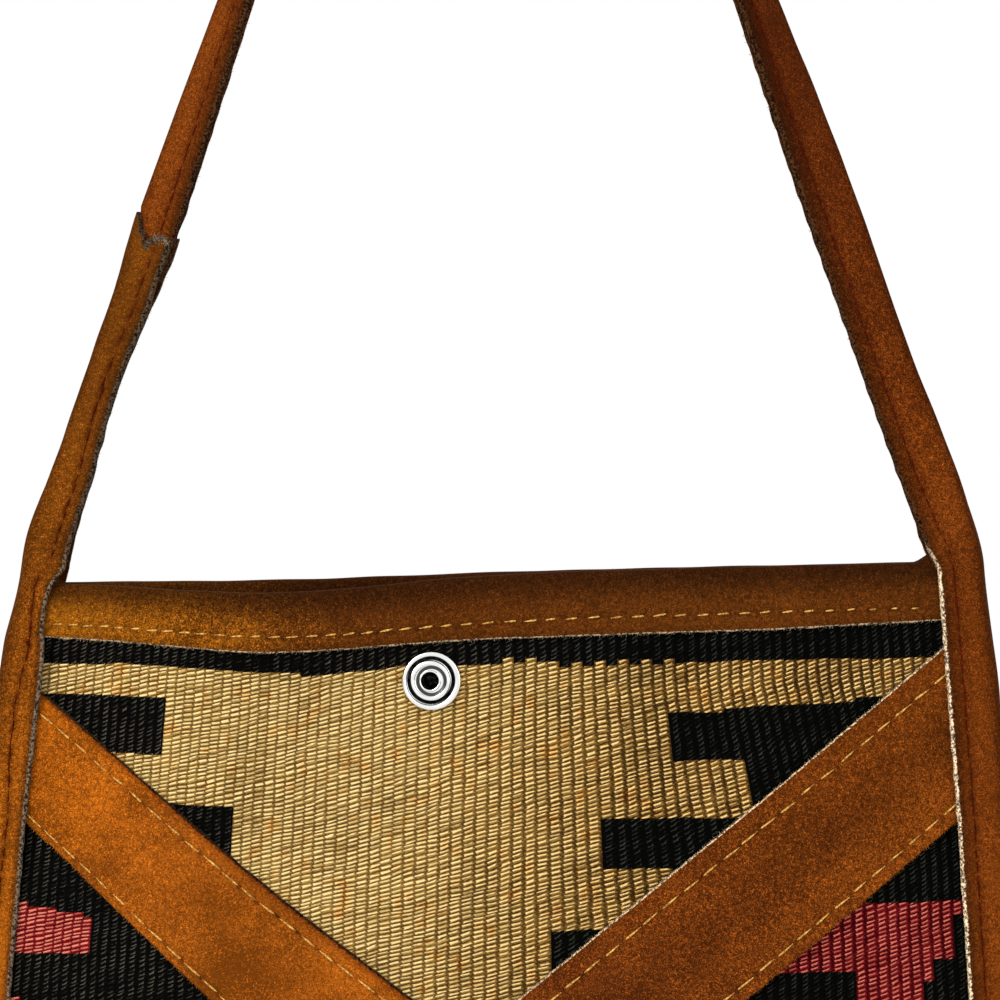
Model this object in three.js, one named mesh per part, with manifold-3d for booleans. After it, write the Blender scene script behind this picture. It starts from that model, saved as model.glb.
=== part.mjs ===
// Kilim crossbody bag: a flat pouch folded from one piece of ribbed kilim, edged and hung by folded
// suede strips, with a V of suede on its front and a snap that closes its mouth.
// Millimetres, +Z up, the front faces -Y. The origin is the flat underside of the strap where it
// hangs over a peg. "Drop" is a distance down from the mouth line, "gap" is half the room inside.

import * as THREE from "three";
import { mergeVertices } from "three/addons/utils/BufferGeometryUtils.js";
import Module from "manifold-3d";

const { lerp, clamp, smoothstep, degToRad } = THREE.MathUtils;
const wasm = await Module();
wasm.setup();

// Pouch outline
const leftMouthDrop = 310.1; // strap seat down to the mouth line at the left edge
const rightMouthDrop = 305; // the bag hangs a little higher on the right
const pouchHeight = 225; // mouth line to bottom fold
const mouthHalfLeft = 109.5; // middle to the raw edge of the side binding, at the mouth
const mouthHalfRight = 112.8;
const bottomHalf = 125; // the same at the bottom fold, both sides
const seamTuck = 6; // kilim reaching under each side binding

// Room inside the pouch
const mouthGap = 6;
const bottomGap = 1.6; // inner radius of the bottom fold
const pouchBulge = 4.6; // extra room half way down
const seamGap = 0.3; // between front and back in the side seams
const sideEase = 55; // from a side seam to the full room
const snapEase = 45; // from the flat round the snap to the full room
const swellGap = 2; // the slack front stands away at the mouth, left of the snap
const swellDrop = 60;
const slackCentre = -52;
const slackReach = 40;
const frontSag = 3.8; // the slack top edge sags there
const backSag = 0.8;

// Kilim
const ribCount = 84;
const clothThickness = 1.5; // at the valleys between ribs
const ribHeight = 0.45;
const innerSteps = 40; // facets across the inner face
const lowerRows = 4; // facets down the pouch below the snap

// Suede
const trimThickness = 1.0; // mouth bindings
const stripThickness = 1.2; // strap strips and chevron
const mouthBindingDepth = 13.8;
const innerBindingDepth = 11;
const trimTuck = 5; // bindings and chevron reaching under the side bindings
const bindingSteps = 40;
const bindingMargin = 1.5; // from a mouth binding's foot to the kilim's next row

// Chevron on the front
const chevronX = -5.5; // where its two strips meet
const innerPointDrop = 115.7;
const outerPointDrop = 162.7;
const leftChevronTop = 26.7;
const leftChevronFoot = 60.7;
const rightChevronTop = 20.2;
const rightChevronFoot = 63.7;
const chevronSteps = 16;
const chevronColumns = 3;

// Strap strips
const leftStripWidth = 10.8; // folded width
const rightStripWidth = 13.6;
const cornerNarrowing = 1.2; // the fold takes up width where it opens round the thick corner
const cornerReach = 18;
const foldDepth = 3; // round of the fold where it binds a side seam
const slit = 0.15; // half of the room between the two layers of the strap
const strapPuff = 0.5;
const openingRise = 30; // the folded strap opens into a binding over this length above the mouth
const pegRadius = 7; // bend of the strap's middle layer over its peg
const seatHalf = 3; // flat seat on the peg, half its length
const twistShare = 0.95; // share of each leg in which the strap turns flat to the peg
const legSteps = 8; // facets along each leg of the main strip
const bendSteps = 4; // facets round the peg, each way from the seat
const waist = 1.4; // the lower left strip is pulled narrower half way up to the splice
const spliceRise = 95; // end of the lower left strip, above the mouth along the leg
const spliceTuck = 12;
const spliceEase = 7;
const tuckedWidth = 8.4;
const tornNotch = 4.5;
const tornTip = 3;

// Snap
const flangeRadius = 7.5;
const bindingToFlange = 3.1;
const flangeHeight = 1;
const barrelBore = 2.25;
const barrelWall = 0.35;
const barrelRoll = 0.2; // the barrel's mouth is rolled into the dish
const studBase = 0.8;
const studBaseRadius = 6;
const studHead = 2.9;
const studWall = 0.5;
const studBulge = 0.15;
const socketHeight = 3.4;
const socketRadius = 6.2;
const socketFloor = 0.5;
const postRadius = 1.9;
const capRise = 1.5;
const snapX = -14.5;
const snapFacets = 20;

const clearance = 0.3;

// Directions and derived places
const FRONT = -1;
const BACK = 1;
const LEFT = -1;
const RIGHT = 1;
const fullCloth = clothThickness + ribHeight;
const bottomZ = -(leftMouthDrop + rightMouthDrop) / 2 - pouchHeight;
const snapDrop = mouthBindingDepth + bindingToFlange + flangeRadius;
const snapGap = (studBase + socketHeight + 3 * clearance) / 2;
const underBinding = mouthBindingDepth + bindingMargin;
const underSnap = 2 * snapDrop - underBinding;
const snapFlat = snapDrop - underBinding;
const mouthSeamGap = trimThickness + 2 * clearance;
const overlay = stripThickness + 2 * clearance;
const tipRise = spliceRise + tornTip;
const rowDrops = [0, underBinding, underSnap];
for (let i = 1; i <= lowerRows; i++) {
  rowDrops.push(lerp(underSnap, pouchHeight, i / lowerRows));
}

// Pouch surface

function bell(distance, reach) {
  return Math.exp(-((distance / reach) ** 2));
}

function mouthLine(x) {
  return lerp(-leftMouthDrop, -rightMouthDrop, (x + mouthHalfLeft) / (mouthHalfLeft + mouthHalfRight));
}

function heightAt(sag, x, drop) {
  const top = mouthLine(x) - sag * bell(x - slackCentre, slackReach);
  return lerp(top, bottomZ, drop / pouchHeight);
}

function wallHeight(side, x, drop) {
  return heightAt(side === FRONT ? frontSag : backSag, x, drop);
}

function rawEdge(end, drop) {
  const mouthHalf = end === LEFT ? mouthHalfLeft : mouthHalfRight;
  const flare = Math.sin((clamp(drop / pouchHeight, 0, 1) * Math.PI) / 2);
  return end * lerp(mouthHalf, bottomHalf, flare);
}

function panelEdge(end, drop) {
  return rawEdge(end, drop) + end * seamTuck;
}

// Half the room between the walls at one of the rows of the kilim.
function gapAtRow(side, x, drop) {
  const down = drop / pouchHeight;
  const middle = lerp(mouthGap, bottomGap, down) + pouchBulge * 4 * down * (1 - down);
  const seam = drop <= underBinding ? mouthSeamGap : seamGap;
  const inset = Math.min(x - panelEdge(LEFT, drop), panelEdge(RIGHT, drop) - x);
  let gap = lerp(seam, middle, smoothstep(inset, 0, sideEase));
  if (side === FRONT) {
    gap += swellGap * bell(x - slackCentre, slackReach) * (1 - smoothstep(drop, 0, swellDrop));
  }
  const fromSnap = Math.hypot(x - snapX, drop - snapDrop);
  return lerp(snapGap, gap, smoothstep(fromSnap, snapFlat, snapFlat + snapEase));
}

// The same at any drop: the walls run straight from row to row.
function wallGap(side, x, drop) {
  const at = clamp(drop, 0, pouchHeight);
  const below = Math.max(1, rowDrops.findIndex((row) => row >= at));
  const above = below - 1;
  const share = (at - rowDrops[above]) / (rowDrops[below] - rowDrops[above]);
  return lerp(gapAtRow(side, x, rowDrops[above]), gapAtRow(side, x, rowDrops[below]), share);
}

// Distance of the rib tops from the middle plane.
function ribTop(side, x, drop) {
  return wallGap(side, x, drop) + fullCloth;
}

// Solids

// Closed skin through rings of equal count. The caps are triangles of a ring's own point numbers.
function loft(rings, startCap, endCap) {
  const count = rings[0].length;
  const positions = rings.flat().flatMap((point) => [point.x, point.y, point.z]);
  const faces = [];
  for (let ring = 0; ring + 1 < rings.length; ring++) {
    for (let i = 0; i < count; i++) {
      const next = (i + 1) % count;
      const a = ring * count + i;
      const b = ring * count + next;
      faces.push(a, b, b + count, a, b + count, a + count);
    }
  }
  const last = (rings.length - 1) * count;
  startCap.forEach(([a, b, c]) => faces.push(c, b, a));
  endCap.forEach(([a, b, c]) => faces.push(last + a, last + b, last + c));
  const geometry = new THREE.BufferGeometry();
  geometry.setAttribute("position", new THREE.Float32BufferAttribute(positions, 3));
  geometry.setIndex(signedVolume(positions, faces) < 0 ? faces.reverse() : faces);
  geometry.computeVertexNormals();
  return geometry;
}

// Cap of a flat ring, from its outline in its own plane.
function flatCap(outline) {
  const turn = Math.sign(THREE.ShapeUtils.area(outline));
  return THREE.ShapeUtils.triangulateShape(outline, []).map((corners) => {
    const own = Math.sign(THREE.ShapeUtils.area(corners.map((i) => outline[i])));
    return own === turn ? corners : [...corners].reverse();
  });
}

// Cap of a thin ring that goes out along one face and back along the other, in the given step counts.
function stripCap(outSteps, backSteps) {
  const opposite = (j) => outSteps + 1 + backSteps - j;
  const triangles = [];
  let i = 0;
  let j = 0;
  while (i < outSteps || j < backSteps) {
    if (j === backSteps || (i < outSteps && (i + 1) / outSteps <= (j + 1) / backSteps)) {
      triangles.push([i, i + 1, opposite(j)]);
      i += 1;
    } else {
      triangles.push([i, opposite(j + 1), opposite(j)]);
      j += 1;
    }
  }
  return triangles;
}

function signedVolume(positions, faces) {
  const corner = (i) => new THREE.Vector3().fromArray(positions, 3 * i);
  let volume = 0;
  for (let i = 0; i < faces.length; i += 3) {
    const normal = corner(faces[i + 1]).cross(corner(faces[i + 2]));
    volume += corner(faces[i]).dot(normal) / 6;
  }
  return volume;
}

function solidOf(geometry) {
  const bare = new THREE.BufferGeometry();
  bare.setAttribute("position", geometry.getAttribute("position"));
  bare.setIndex(geometry.index);
  const merged = mergeVertices(bare, 1e-4);
  return new wasm.Manifold(
    new wasm.Mesh({
      numProp: 3,
      vertProperties: merged.attributes.position.array,
      triVerts: new Uint32Array(merged.index.array),
    }),
  );
}

function geometryOf(solid) {
  const mesh = solid.getMesh();
  const geometry = new THREE.BufferGeometry();
  geometry.setAttribute("position", new THREE.BufferAttribute(mesh.vertProperties, 3));
  geometry.setIndex(new THREE.BufferAttribute(mesh.triVerts, 1));
  geometry.computeVertexNormals();
  return geometry;
}

// Round piece about Y from a closed profile of [radius, height] pairs, walked with the metal on the left.
function revolve(profile) {
  const points = profile.map(([radius, height]) => new THREE.Vector2(radius, height));
  if (points[0].x > 0) {
    points.push(points[0].clone());
  }
  return new THREE.LatheGeometry(points, snapFacets);
}

function part(name, geometry, color, roughness, metalness) {
  const mesh = new THREE.Mesh(geometry, new THREE.MeshStandardMaterial({ color, roughness, metalness }));
  mesh.name = name;
  return mesh;
}

// Kilim: one piece down the front, round the bottom fold and up the back

function kilimBody() {
  const across = [];
  for (let i = 0; i <= 2 * ribCount; i++) {
    across.push({ share: i / (2 * ribCount), lift: i % 2 ? fullCloth : clothThickness });
  }
  for (let i = innerSteps; i >= 0; i--) {
    across.push({ share: i / innerSteps, lift: 0 });
  }
  const ring = (drop, place) =>
    across.map(({ share, lift }) => place(lerp(panelEdge(LEFT, drop), panelEdge(RIGHT, drop), share), lift));
  const wallRing = (side, drop) =>
    ring(drop, (x, lift) => {
      const y = side * (gapAtRow(side, x, drop) + lift);
      return new THREE.Vector3(x, y, wallHeight(side, x, drop));
    });
  const foldRing = (angle) =>
    ring(pouchHeight, (x, lift) => {
      const radius = gapAtRow(FRONT, x, pouchHeight) + lift;
      return new THREE.Vector3(x, -radius * Math.cos(angle), bottomZ - radius * Math.sin(angle));
    });
  const rings = [
    ...rowDrops.map((drop) => wallRing(FRONT, drop)),
    ...[45, 90, 135].map((angle) => foldRing(degToRad(angle))),
    ...[...rowDrops].reverse().map((drop) => wallRing(BACK, drop)),
  ];
  const edge = stripCap(2 * ribCount, innerSteps);
  const cloth = solidOf(loft(rings, edge, edge));
  const frontHole = snapHole(barrelBore + barrelWall, FRONT);
  const backHole = snapHole(postRadius, BACK);
  return geometryOf(cloth.subtract(frontHole).subtract(backHole));
}

function snapHole(radius, side) {
  const length = 4 * (snapGap + fullCloth);
  const drill = new THREE.CylinderGeometry(radius + clearance, radius + clearance, length, snapFacets);
  drill.translate(snapX, (side * length) / 2, snapZ());
  return solidOf(drill);
}

function snapZ() {
  return wallHeight(FRONT, snapX, snapDrop);
}

// Suede folded over the top edge of one wall

function mouthBinding(side) {
  const from = rawEdge(LEFT, 0) - trimTuck;
  const to = rawEdge(RIGHT, 0) + trimTuck;
  const rings = [];
  const outlines = [];
  for (let i = 0; i <= bindingSteps; i++) {
    const x = lerp(from, to, i / bindingSteps);
    const outline = mouthBindingOutline(side, x);
    outlines.push(outline);
    rings.push(outline.map((p) => new THREE.Vector3(x, side * p.x, wallHeight(side, x, 0) + p.y)));
  }
  return loft(rings, flatCap(outlines[0]), flatCap(outlines[bindingSteps]));
}

// Section of the binding: x is the distance from the middle plane, y the height over the kilim's edge.
function mouthBindingOutline(side, x) {
  const down = (drop) => wallHeight(side, x, drop) - wallHeight(side, x, 0);
  const outer = ribTop(side, x, 0) + clearance;
  const outerFoot = ribTop(side, x, mouthBindingDepth) + clearance;
  const inner = wallGap(side, x, 0) - clearance;
  const innerFoot = wallGap(side, x, innerBindingDepth) - clearance;
  const middle = (outer + inner) / 2;
  const half = (outer - inner) / 2 + trimThickness;
  const rise = clearance + trimThickness;
  const fold = [45, 90, 135].map((angle) => {
    const turn = degToRad(angle);
    return [middle + half * Math.cos(turn), rise * Math.sin(turn)];
  });
  return [
    [outerFoot + trimThickness, down(mouthBindingDepth)],
    [outer + trimThickness, 0],
    ...fold,
    [inner - trimThickness, 0],
    [innerFoot - trimThickness, down(innerBindingDepth)],
    [innerFoot, down(innerBindingDepth)],
    [inner, clearance],
    [outer, clearance],
    [outerFoot, down(mouthBindingDepth)],
  ].map(([offset, height]) => new THREE.Vector2(offset, height));
}

// One leg of the V, sewn on the front, mitred where the two legs meet

function chevronStrip(end) {
  const topDrop = end === LEFT ? leftChevronTop : rightChevronTop;
  const footDrop = end === LEFT ? leftChevronFoot : rightChevronFoot;
  const meet = chevronX + (end * clearance) / 2;
  const edge = (sideDrop, pointDrop) => {
    const raw = rawEdge(end, sideDrop);
    const slope = (pointDrop - sideDrop) / Math.abs(raw - meet);
    const start = new THREE.Vector2(raw + end * trimTuck, sideDrop - slope * trimTuck);
    return (share) => start.clone().lerp(new THREE.Vector2(meet, pointDrop), share);
  };
  const upper = edge(topDrop, innerPointDrop);
  const lower = edge(footDrop, outerPointDrop);
  const columns = [];
  for (let i = 0; i <= chevronColumns; i++) {
    columns.push({ share: i / chevronColumns, lift: clearance + stripThickness });
  }
  for (let i = chevronColumns; i >= 0; i--) {
    columns.push({ share: i / chevronColumns, lift: clearance });
  }
  const rings = [];
  for (let i = 0; i <= chevronSteps; i++) {
    const along = i / chevronSteps;
    rings.push(
      columns.map(({ share, lift }) => {
        const { x, y: drop } = upper(along).lerp(lower(along), share);
        const y = FRONT * (ribTop(FRONT, x, drop) + lift);
        return new THREE.Vector3(x, y, wallHeight(FRONT, x, drop));
      }),
    );
  }
  const edges = stripCap(chevronColumns, chevronColumns);
  return loft(rings, edges, edges);
}

// Folded strips: strap and side bindings
//
// A station of a folded strip has a width from its two raw edges to its fold, and half of the room
// between its layers, front and back, at three places: the raw edge, the middle and the start of the
// fold. Its place function turns a distance from the raw edges and a height over the middle layer into
// a point.

function stripRing(station) {
  return stripOutline(station).map((p, i) => station.place(p.x, p.y, i));
}

function stripOutline({ width, fold, places, front, back, puff }) {
  const swell = [0, puff, 0];
  const outerFront = places.map((u, i) => [u, front[i] + stripThickness + swell[i]]);
  const outerBack = places.map((u, i) => [u, -back[i] - stripThickness - swell[i]]);
  const innerFront = places.map((u, i) => [u, front[i]]);
  const innerBack = places.map((u, i) => [u, -back[i]]);
  const high = front[2] + stripThickness;
  const low = back[2] + stripThickness;
  const turn = Math.SQRT1_2;
  const foldStart = width - fold;
  const points = [
    ...outerFront,
    [foldStart + fold * turn, high * turn],
    [width, (high - low) / 2],
    [foldStart + fold * turn, -low * turn],
    ...outerBack.reverse(),
    ...innerBack,
    [width - stripThickness, (high - low) / 2],
    ...innerFront.reverse(),
  ];
  return points.map(([u, v]) => new THREE.Vector2(u, v));
}

function stripWidth(end) {
  return end === LEFT ? leftStripWidth : rightStripWidth;
}

// Room under one leg of a side binding: kilim, and what is tucked in over it.
function seamRoom(side, end, tuck, drop) {
  const foot = end === LEFT ? leftChevronFoot : rightChevronFoot;
  const upTo = side === FRONT ? foot + trimTuck : underBinding;
  const over = side === FRONT ? foot + 3 * trimTuck : underSnap;
  const x = rawEdge(end, drop) + end * Math.min(tuck, seamTuck);
  return ribTop(side, x, drop) + clearance + overlay * (1 - clamp((drop - upTo) / (over - upTo), 0, 1));
}

function cornerWidth(end, fromMouth) {
  return stripWidth(end) - cornerNarrowing * bell(fromMouth, cornerReach);
}

// Station where a strip binds a side seam, at a drop below the mouth.
function bindingStation(end, drop) {
  const width = cornerWidth(end, drop);
  const places = [0, seamTuck / 2, width - foldDepth];
  const raw = rawEdge(end, drop);
  return {
    width,
    places,
    fold: foldDepth,
    front: places.map((u) => seamRoom(FRONT, end, u, drop)),
    back: places.map((u) => seamRoom(BACK, end, u, drop)),
    puff: 0,
    place: (u, v) => new THREE.Vector3(raw + end * u, -v, heightAt(0, raw + end * u, drop)),
  };
}

function bindingDrops(end) {
  const foot = end === LEFT ? leftChevronFoot : rightChevronFoot;
  const hem = pouchHeight + bottomGap + fullCloth;
  const drops = [...rowDrops, foot + trimTuck, foot + 3 * trimTuck, hem, underBinding / 2];
  return drops.sort((a, b) => b - a);
}

// Middle line of one leg of the strap, from the mouth corner to where it meets the bend over the peg.
const seatLift = slit + stripThickness;

function leg(end) {
  const cornerX = rawEdge(end, 0) + (end * cornerWidth(end, 0)) / 2;
  const corner = new THREE.Vector2(cornerX, mouthLine(cornerX));
  const centre = new THREE.Vector2(end * seatHalf, seatLift - pegRadius);
  const reach = corner.clone().sub(centre);
  const along = reach.clone().normalize();
  const across = new THREE.Vector2(-end * along.y, end * along.x);
  const cosine = pegRadius / reach.length();
  const normal = along.multiplyScalar(cosine).addScaledVector(across, Math.sqrt(1 - cosine ** 2));
  const top = centre.clone().addScaledVector(normal, pegRadius);
  return { end, corner, centre, normal, top, length: top.distanceTo(corner) };
}

const legs = { [LEFT]: leg(LEFT), [RIGHT]: leg(RIGHT) };

// A strip's section across the line of the strap: twist turns it from facing forward to lying on the peg.
function strapStation({ at, inward, twist, width, rawAt, fold, front, back, puff }) {
  const inwards = new THREE.Vector3(inward.x, 0, inward.y);
  const forward = new THREE.Vector3(0, FRONT, 0);
  const cosine = Math.cos(twist);
  const sine = Math.sin(twist);
  const acrossStrip = inwards.clone().multiplyScalar(cosine).addScaledVector(forward, sine);
  const outOfFace = forward.clone().multiplyScalar(cosine).addScaledVector(inwards, -sine);
  const middle = new THREE.Vector3(at.x, 0, at.y);
  return {
    width,
    fold,
    places: [0, width / 2, width - fold],
    front,
    back,
    puff,
    place: (u, v) =>
      middle.clone().addScaledVector(acrossStrip, rawAt - u).addScaledVector(outOfFace, v),
  };
}

const closed = [slit, slit, slit];

// Station on a leg, at a rise above the mouth corner.
function legStation(end, rise, change = {}) {
  const { corner, top, normal, length } = legs[end];
  const open = 1 - smoothstep(rise, 0, openingRise);
  const width = cornerWidth(end, rise);
  const mouth = bindingStation(end, 0);
  const twist = (Math.PI / 2) * smoothstep(rise / length, 0, twistShare);
  return strapStation({
    at: corner.clone().lerp(top, rise / length),
    inward: normal.clone().negate(),
    twist,
    width,
    rawAt: width / 2,
    fold: lerp(slit + stripThickness, foldDepth, open),
    front: closed.map((room, i) => lerp(room, mouth.front[i], open)),
    back: closed.map((room, i) => lerp(room, mouth.back[i], open)),
    puff: strapPuff * (1 - open) * Math.cos(twist),
    ...change,
  });
}

// Stations of the bend over the peg, from one leg's top to the seat.
function bendStations(end) {
  const { centre, normal } = legs[end];
  const start = Math.atan2(normal.y, normal.x);
  const stations = [];
  for (let i = 0; i <= bendSteps; i++) {
    const angle = lerp(start, Math.PI / 2, i / bendSteps);
    const out = new THREE.Vector2(Math.cos(angle), Math.sin(angle));
    const width = stripWidth(end);
    stations.push(
      strapStation({
        at: centre.clone().addScaledVector(out, pegRadius),
        inward: out.clone().negate(),
        twist: Math.PI / 2,
        width,
        rawAt: width / 2,
        fold: slit + stripThickness,
        front: closed,
        back: closed,
        puff: 0,
      }),
    );
  }
  return stations;
}

function stripSolid(stations) {
  const ends = [stations[0], stations.at(-1)].map((station) => flatCap(stripOutline(station)));
  return loft(stations.map(stripRing), ...ends);
}

const openingRises = [0.45, 0.7, 1].map((share) => share * openingRise);

function legRises(from, to, count) {
  return Array.from({ length: count }, (_, i) => lerp(from, to, (i + 1) / count));
}

// The narrow left end of the main strip goes into the open fold of the lower left strip.
function tuckedStation(rise) {
  const tucked = 1 - smoothstep(rise, tipRise, tipRise + spliceEase);
  const free = cornerWidth(LEFT, rise);
  const width = lerp(free, tuckedWidth, tucked);
  const puff = strapPuff * (1 - tucked);
  return legStation(LEFT, rise, { width, rawAt: free / 2 - (clearance / 2) * tucked, puff });
}

function mainStrap() {
  const rightTop = legs[RIGHT].length;
  const leftTop = legs[LEFT].length;
  const lastRise = spliceRise - spliceTuck;
  const stations = [
    ...bindingDrops(RIGHT).map((drop) => bindingStation(RIGHT, drop)),
    ...openingRises.map((rise) => legStation(RIGHT, rise)),
    ...legRises(openingRise, rightTop, legSteps).slice(0, -1).map((rise) => legStation(RIGHT, rise)),
    ...bendStations(RIGHT),
    ...bendStations(LEFT).reverse(),
    ...legRises(leftTop, tipRise + spliceEase, legSteps).map(tuckedStation),
    ...legRises(tipRise + spliceEase, tipRise, 2).map(tuckedStation),
    tuckedStation(lastRise),
  ];
  return stripSolid(stations);
}

function lowerLeftStrap() {
  const room = slit + stripThickness + clearance;
  const shut = spliceRise - spliceTuck - spliceEase;
  const full = spliceRise - spliceTuck - clearance;
  const waistStation = (rise) => {
    const free = cornerWidth(LEFT, rise);
    const taken = waist * Math.sin((Math.PI * (rise - openingRise)) / (shut - openingRise));
    return legStation(LEFT, rise, { width: free - taken, rawAt: free / 2 - taken });
  };
  const spliceStation = (rise) => {
    const open = smoothstep(rise, shut, full);
    const half = closed.map((closedRoom) => lerp(closedRoom, room, open));
    const fold = lerp(slit, room, open) + stripThickness;
    return legStation(LEFT, rise, { front: half, back: half, fold, puff: strapPuff * (1 - open) });
  };
  const stations = [
    ...bindingDrops(LEFT).map((drop) => bindingStation(LEFT, drop)),
    ...openingRises.map((rise) => legStation(LEFT, rise)),
    ...legRises(openingRise, shut, 4).map(waistStation),
    ...legRises(shut, full, 3).map(spliceStation),
    spliceStation(spliceRise - 2 * tornNotch),
    tornEnd(spliceStation(spliceRise)),
  ];
  return stripSolid(stations);
}

// The torn end of the lower strip: the front layer has a notch, and the fold stands up in a tip.
function tornEnd(station) {
  const { corner, top } = legs[LEFT];
  const up = top.clone().sub(corner).normalize();
  const tear = [0, -tornNotch, tornTip / 2, tornTip, tornTip, tornTip / 2];
  const innerTear = { 12: tornTip, 13: tornTip / 2, 14: -tornNotch };
  const place = (u, v, i) => {
    const rise = tear[i] ?? innerTear[i] ?? 0;
    return station.place(u, v).add(new THREE.Vector3(up.x * rise, 0, up.y * rise));
  };
  return { ...station, place };
}

// Snap, about its own axis

function snapEyelet() {
  const outer = barrelBore + barrelWall;
  const through = fullCloth + 2 * clearance + studBase;
  return revolve([
    [barrelBore, -through],
    [outer, -through],
    [outer, 0],
    [0.92 * flangeRadius, 0],
    [flangeRadius, 0.45 * flangeHeight],
    [0.95 * flangeRadius, flangeHeight],
    [0.87 * flangeRadius, flangeHeight],
    [0.82 * flangeRadius, 0.4 * flangeHeight],
    [0.75 * flangeRadius, 0.9 * flangeHeight],
    [0.6 * flangeRadius, 0.95 * flangeHeight],
    [0.55 * flangeRadius, 0.6 * flangeHeight],
    [outer + barrelRoll, 0.35 * flangeHeight],
    [outer, 0.6 * flangeHeight],
    [barrelBore, 0.5 * flangeHeight],
  ]);
}

function snapStud() {
  const bore = barrelBore + barrelWall + clearance;
  const neck = bore + studWall;
  const head = studBase + studHead;
  return revolve([
    [bore, 0],
    [studBaseRadius, 0],
    [studBaseRadius, studBase],
    [neck, studBase],
    [neck, studBase + 0.35 * studHead],
    [neck + studBulge, studBase + 0.65 * studHead],
    [neck - studWall, head],
    [barrelBore - studWall, head],
    [barrelBore - studWall, head - studWall],
    [bore, head - studWall],
  ]);
}

function snapSocket() {
  const cavity = barrelBore + barrelWall + studWall + studBulge + 2 * clearance;
  const hole = postRadius + clearance;
  return revolve([
    [hole, 0],
    [socketRadius, 0],
    [socketRadius, 0.7 * socketHeight],
    [cavity + studWall, socketHeight],
    [cavity, socketHeight],
    [cavity, socketFloor],
    [hole, socketFloor],
  ]);
}

function snapCap() {
  const post = fullCloth + 2 * clearance + socketFloor;
  return revolve([
    [0, -post],
    [postRadius, -post],
    [postRadius, 0],
    [0.95 * flangeRadius, 0],
    [flangeRadius, 0.3 * capRise],
    [0.9 * flangeRadius, 0.65 * capRise],
    [0.5 * flangeRadius, 0.95 * capRise],
    [0, capRise],
  ]);
}

// Seats a snap piece, whose height runs along +Y, facing front or back at a distance from the middle.
function seatSnap(mesh, facing, y) {
  mesh.position.set(snapX, y, snapZ());
  mesh.rotation.x = facing === FRONT ? Math.PI : 0;
  return mesh;
}

const bag = new THREE.Group();
bag.name = "kilim_crossbody_bag";
const outside = snapGap + fullCloth + clearance;
const inside = snapGap - clearance;
bag.add(
  part("kilim_body", kilimBody(), 0xc8a56a, 0.95, 0),
  part("front_mouth_binding", mouthBinding(FRONT), 0x70400f, 0.9, 0),
  part("back_mouth_binding", mouthBinding(BACK), 0x70400f, 0.9, 0),
  part("left_chevron_strip", chevronStrip(LEFT), 0xa8600f, 0.9, 0),
  part("right_chevron_strip", chevronStrip(RIGHT), 0x8a4b10, 0.9, 0),
  part("main_strap_strip", mainStrap(), 0x7a3f10, 0.9, 0),
  part("lower_left_strap_strip", lowerLeftStrap(), 0x75420f, 0.9, 0),
  seatSnap(part("snap_eyelet", snapEyelet(), 0xd8d8da, 0.2, 1), FRONT, -outside),
  seatSnap(part("snap_stud", snapStud(), 0xc8c8ca, 0.25, 1), BACK, -inside),
  seatSnap(part("snap_socket", snapSocket(), 0xc8c8ca, 0.25, 1), FRONT, inside),
  seatSnap(part("snap_cap", snapCap(), 0xd8d8da, 0.2, 1), BACK, outside),
);

export default bag;
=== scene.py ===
"""Looks of a kilim crossbody bag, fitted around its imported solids.

Everything is in metres, in the frame of the solids: the bag hangs from the origin along -Z and its
front faces -Y. A drop is a distance down from the mouth line of the pouch, and a gap is half the room
between its two walls.
"""

import logging
import math
from collections.abc import Callable, Iterator, Sequence
from contextlib import contextmanager
from dataclasses import dataclass, field, replace
from enum import Enum, IntEnum

import bpy
import numpy as np
from bpy.types import Material, Mesh, Node, NodeSocket, NodeTree, Object
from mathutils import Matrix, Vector
from mathutils.kdtree import KDTree


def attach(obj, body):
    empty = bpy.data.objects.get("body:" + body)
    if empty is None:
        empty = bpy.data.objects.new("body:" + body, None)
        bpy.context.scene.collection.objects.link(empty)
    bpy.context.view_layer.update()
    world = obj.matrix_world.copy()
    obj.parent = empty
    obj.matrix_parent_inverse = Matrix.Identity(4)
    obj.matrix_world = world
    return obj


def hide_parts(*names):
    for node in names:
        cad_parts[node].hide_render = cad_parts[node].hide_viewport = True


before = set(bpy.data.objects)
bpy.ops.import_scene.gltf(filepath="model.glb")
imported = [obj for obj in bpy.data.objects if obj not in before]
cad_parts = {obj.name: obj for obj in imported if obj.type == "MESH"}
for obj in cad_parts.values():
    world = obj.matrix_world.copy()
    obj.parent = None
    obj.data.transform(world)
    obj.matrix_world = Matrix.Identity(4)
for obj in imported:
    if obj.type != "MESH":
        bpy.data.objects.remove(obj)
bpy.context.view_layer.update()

MM = 0.001
LOG = logging.getLogger("kilim_bag")

Array = np.ndarray
Reals = np.ndarray | float
Colour = tuple[float, float, float]
Pair = tuple[float, float]
Numbers = tuple[float, ...]

CUT_RIM: tuple[Pair, ...] = ((0.12, 0.0), (0.0, 0.3), (0.12, 0.66), (0.45, 0.93))


class Side(IntEnum):
    """Wall of the pouch, by the sign of its Y."""

    FRONT = -1
    BACK = 1


class End(IntEnum):
    """Left or right end of the bag, by the sign of its X."""

    LEFT = -1
    RIGHT = 1


class Yarn(IntEnum):
    """Yarn that a float of the kilim is woven in."""

    TAN = 0
    BLACK = 1
    RED = 2


class Held(Enum):
    """How a sheet of the bag is held."""

    FOLDED = "folded"
    LAID = "laid"


def mm(*sizes: float) -> Numbers:
    """Turn sizes in millimetres into metres."""
    return tuple(size * MM for size in sizes)


def mix(start: Reals, end: Reals, share: Reals) -> Reals:
    """Go from start to end by a share."""
    return start + (end - start) * share


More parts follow.
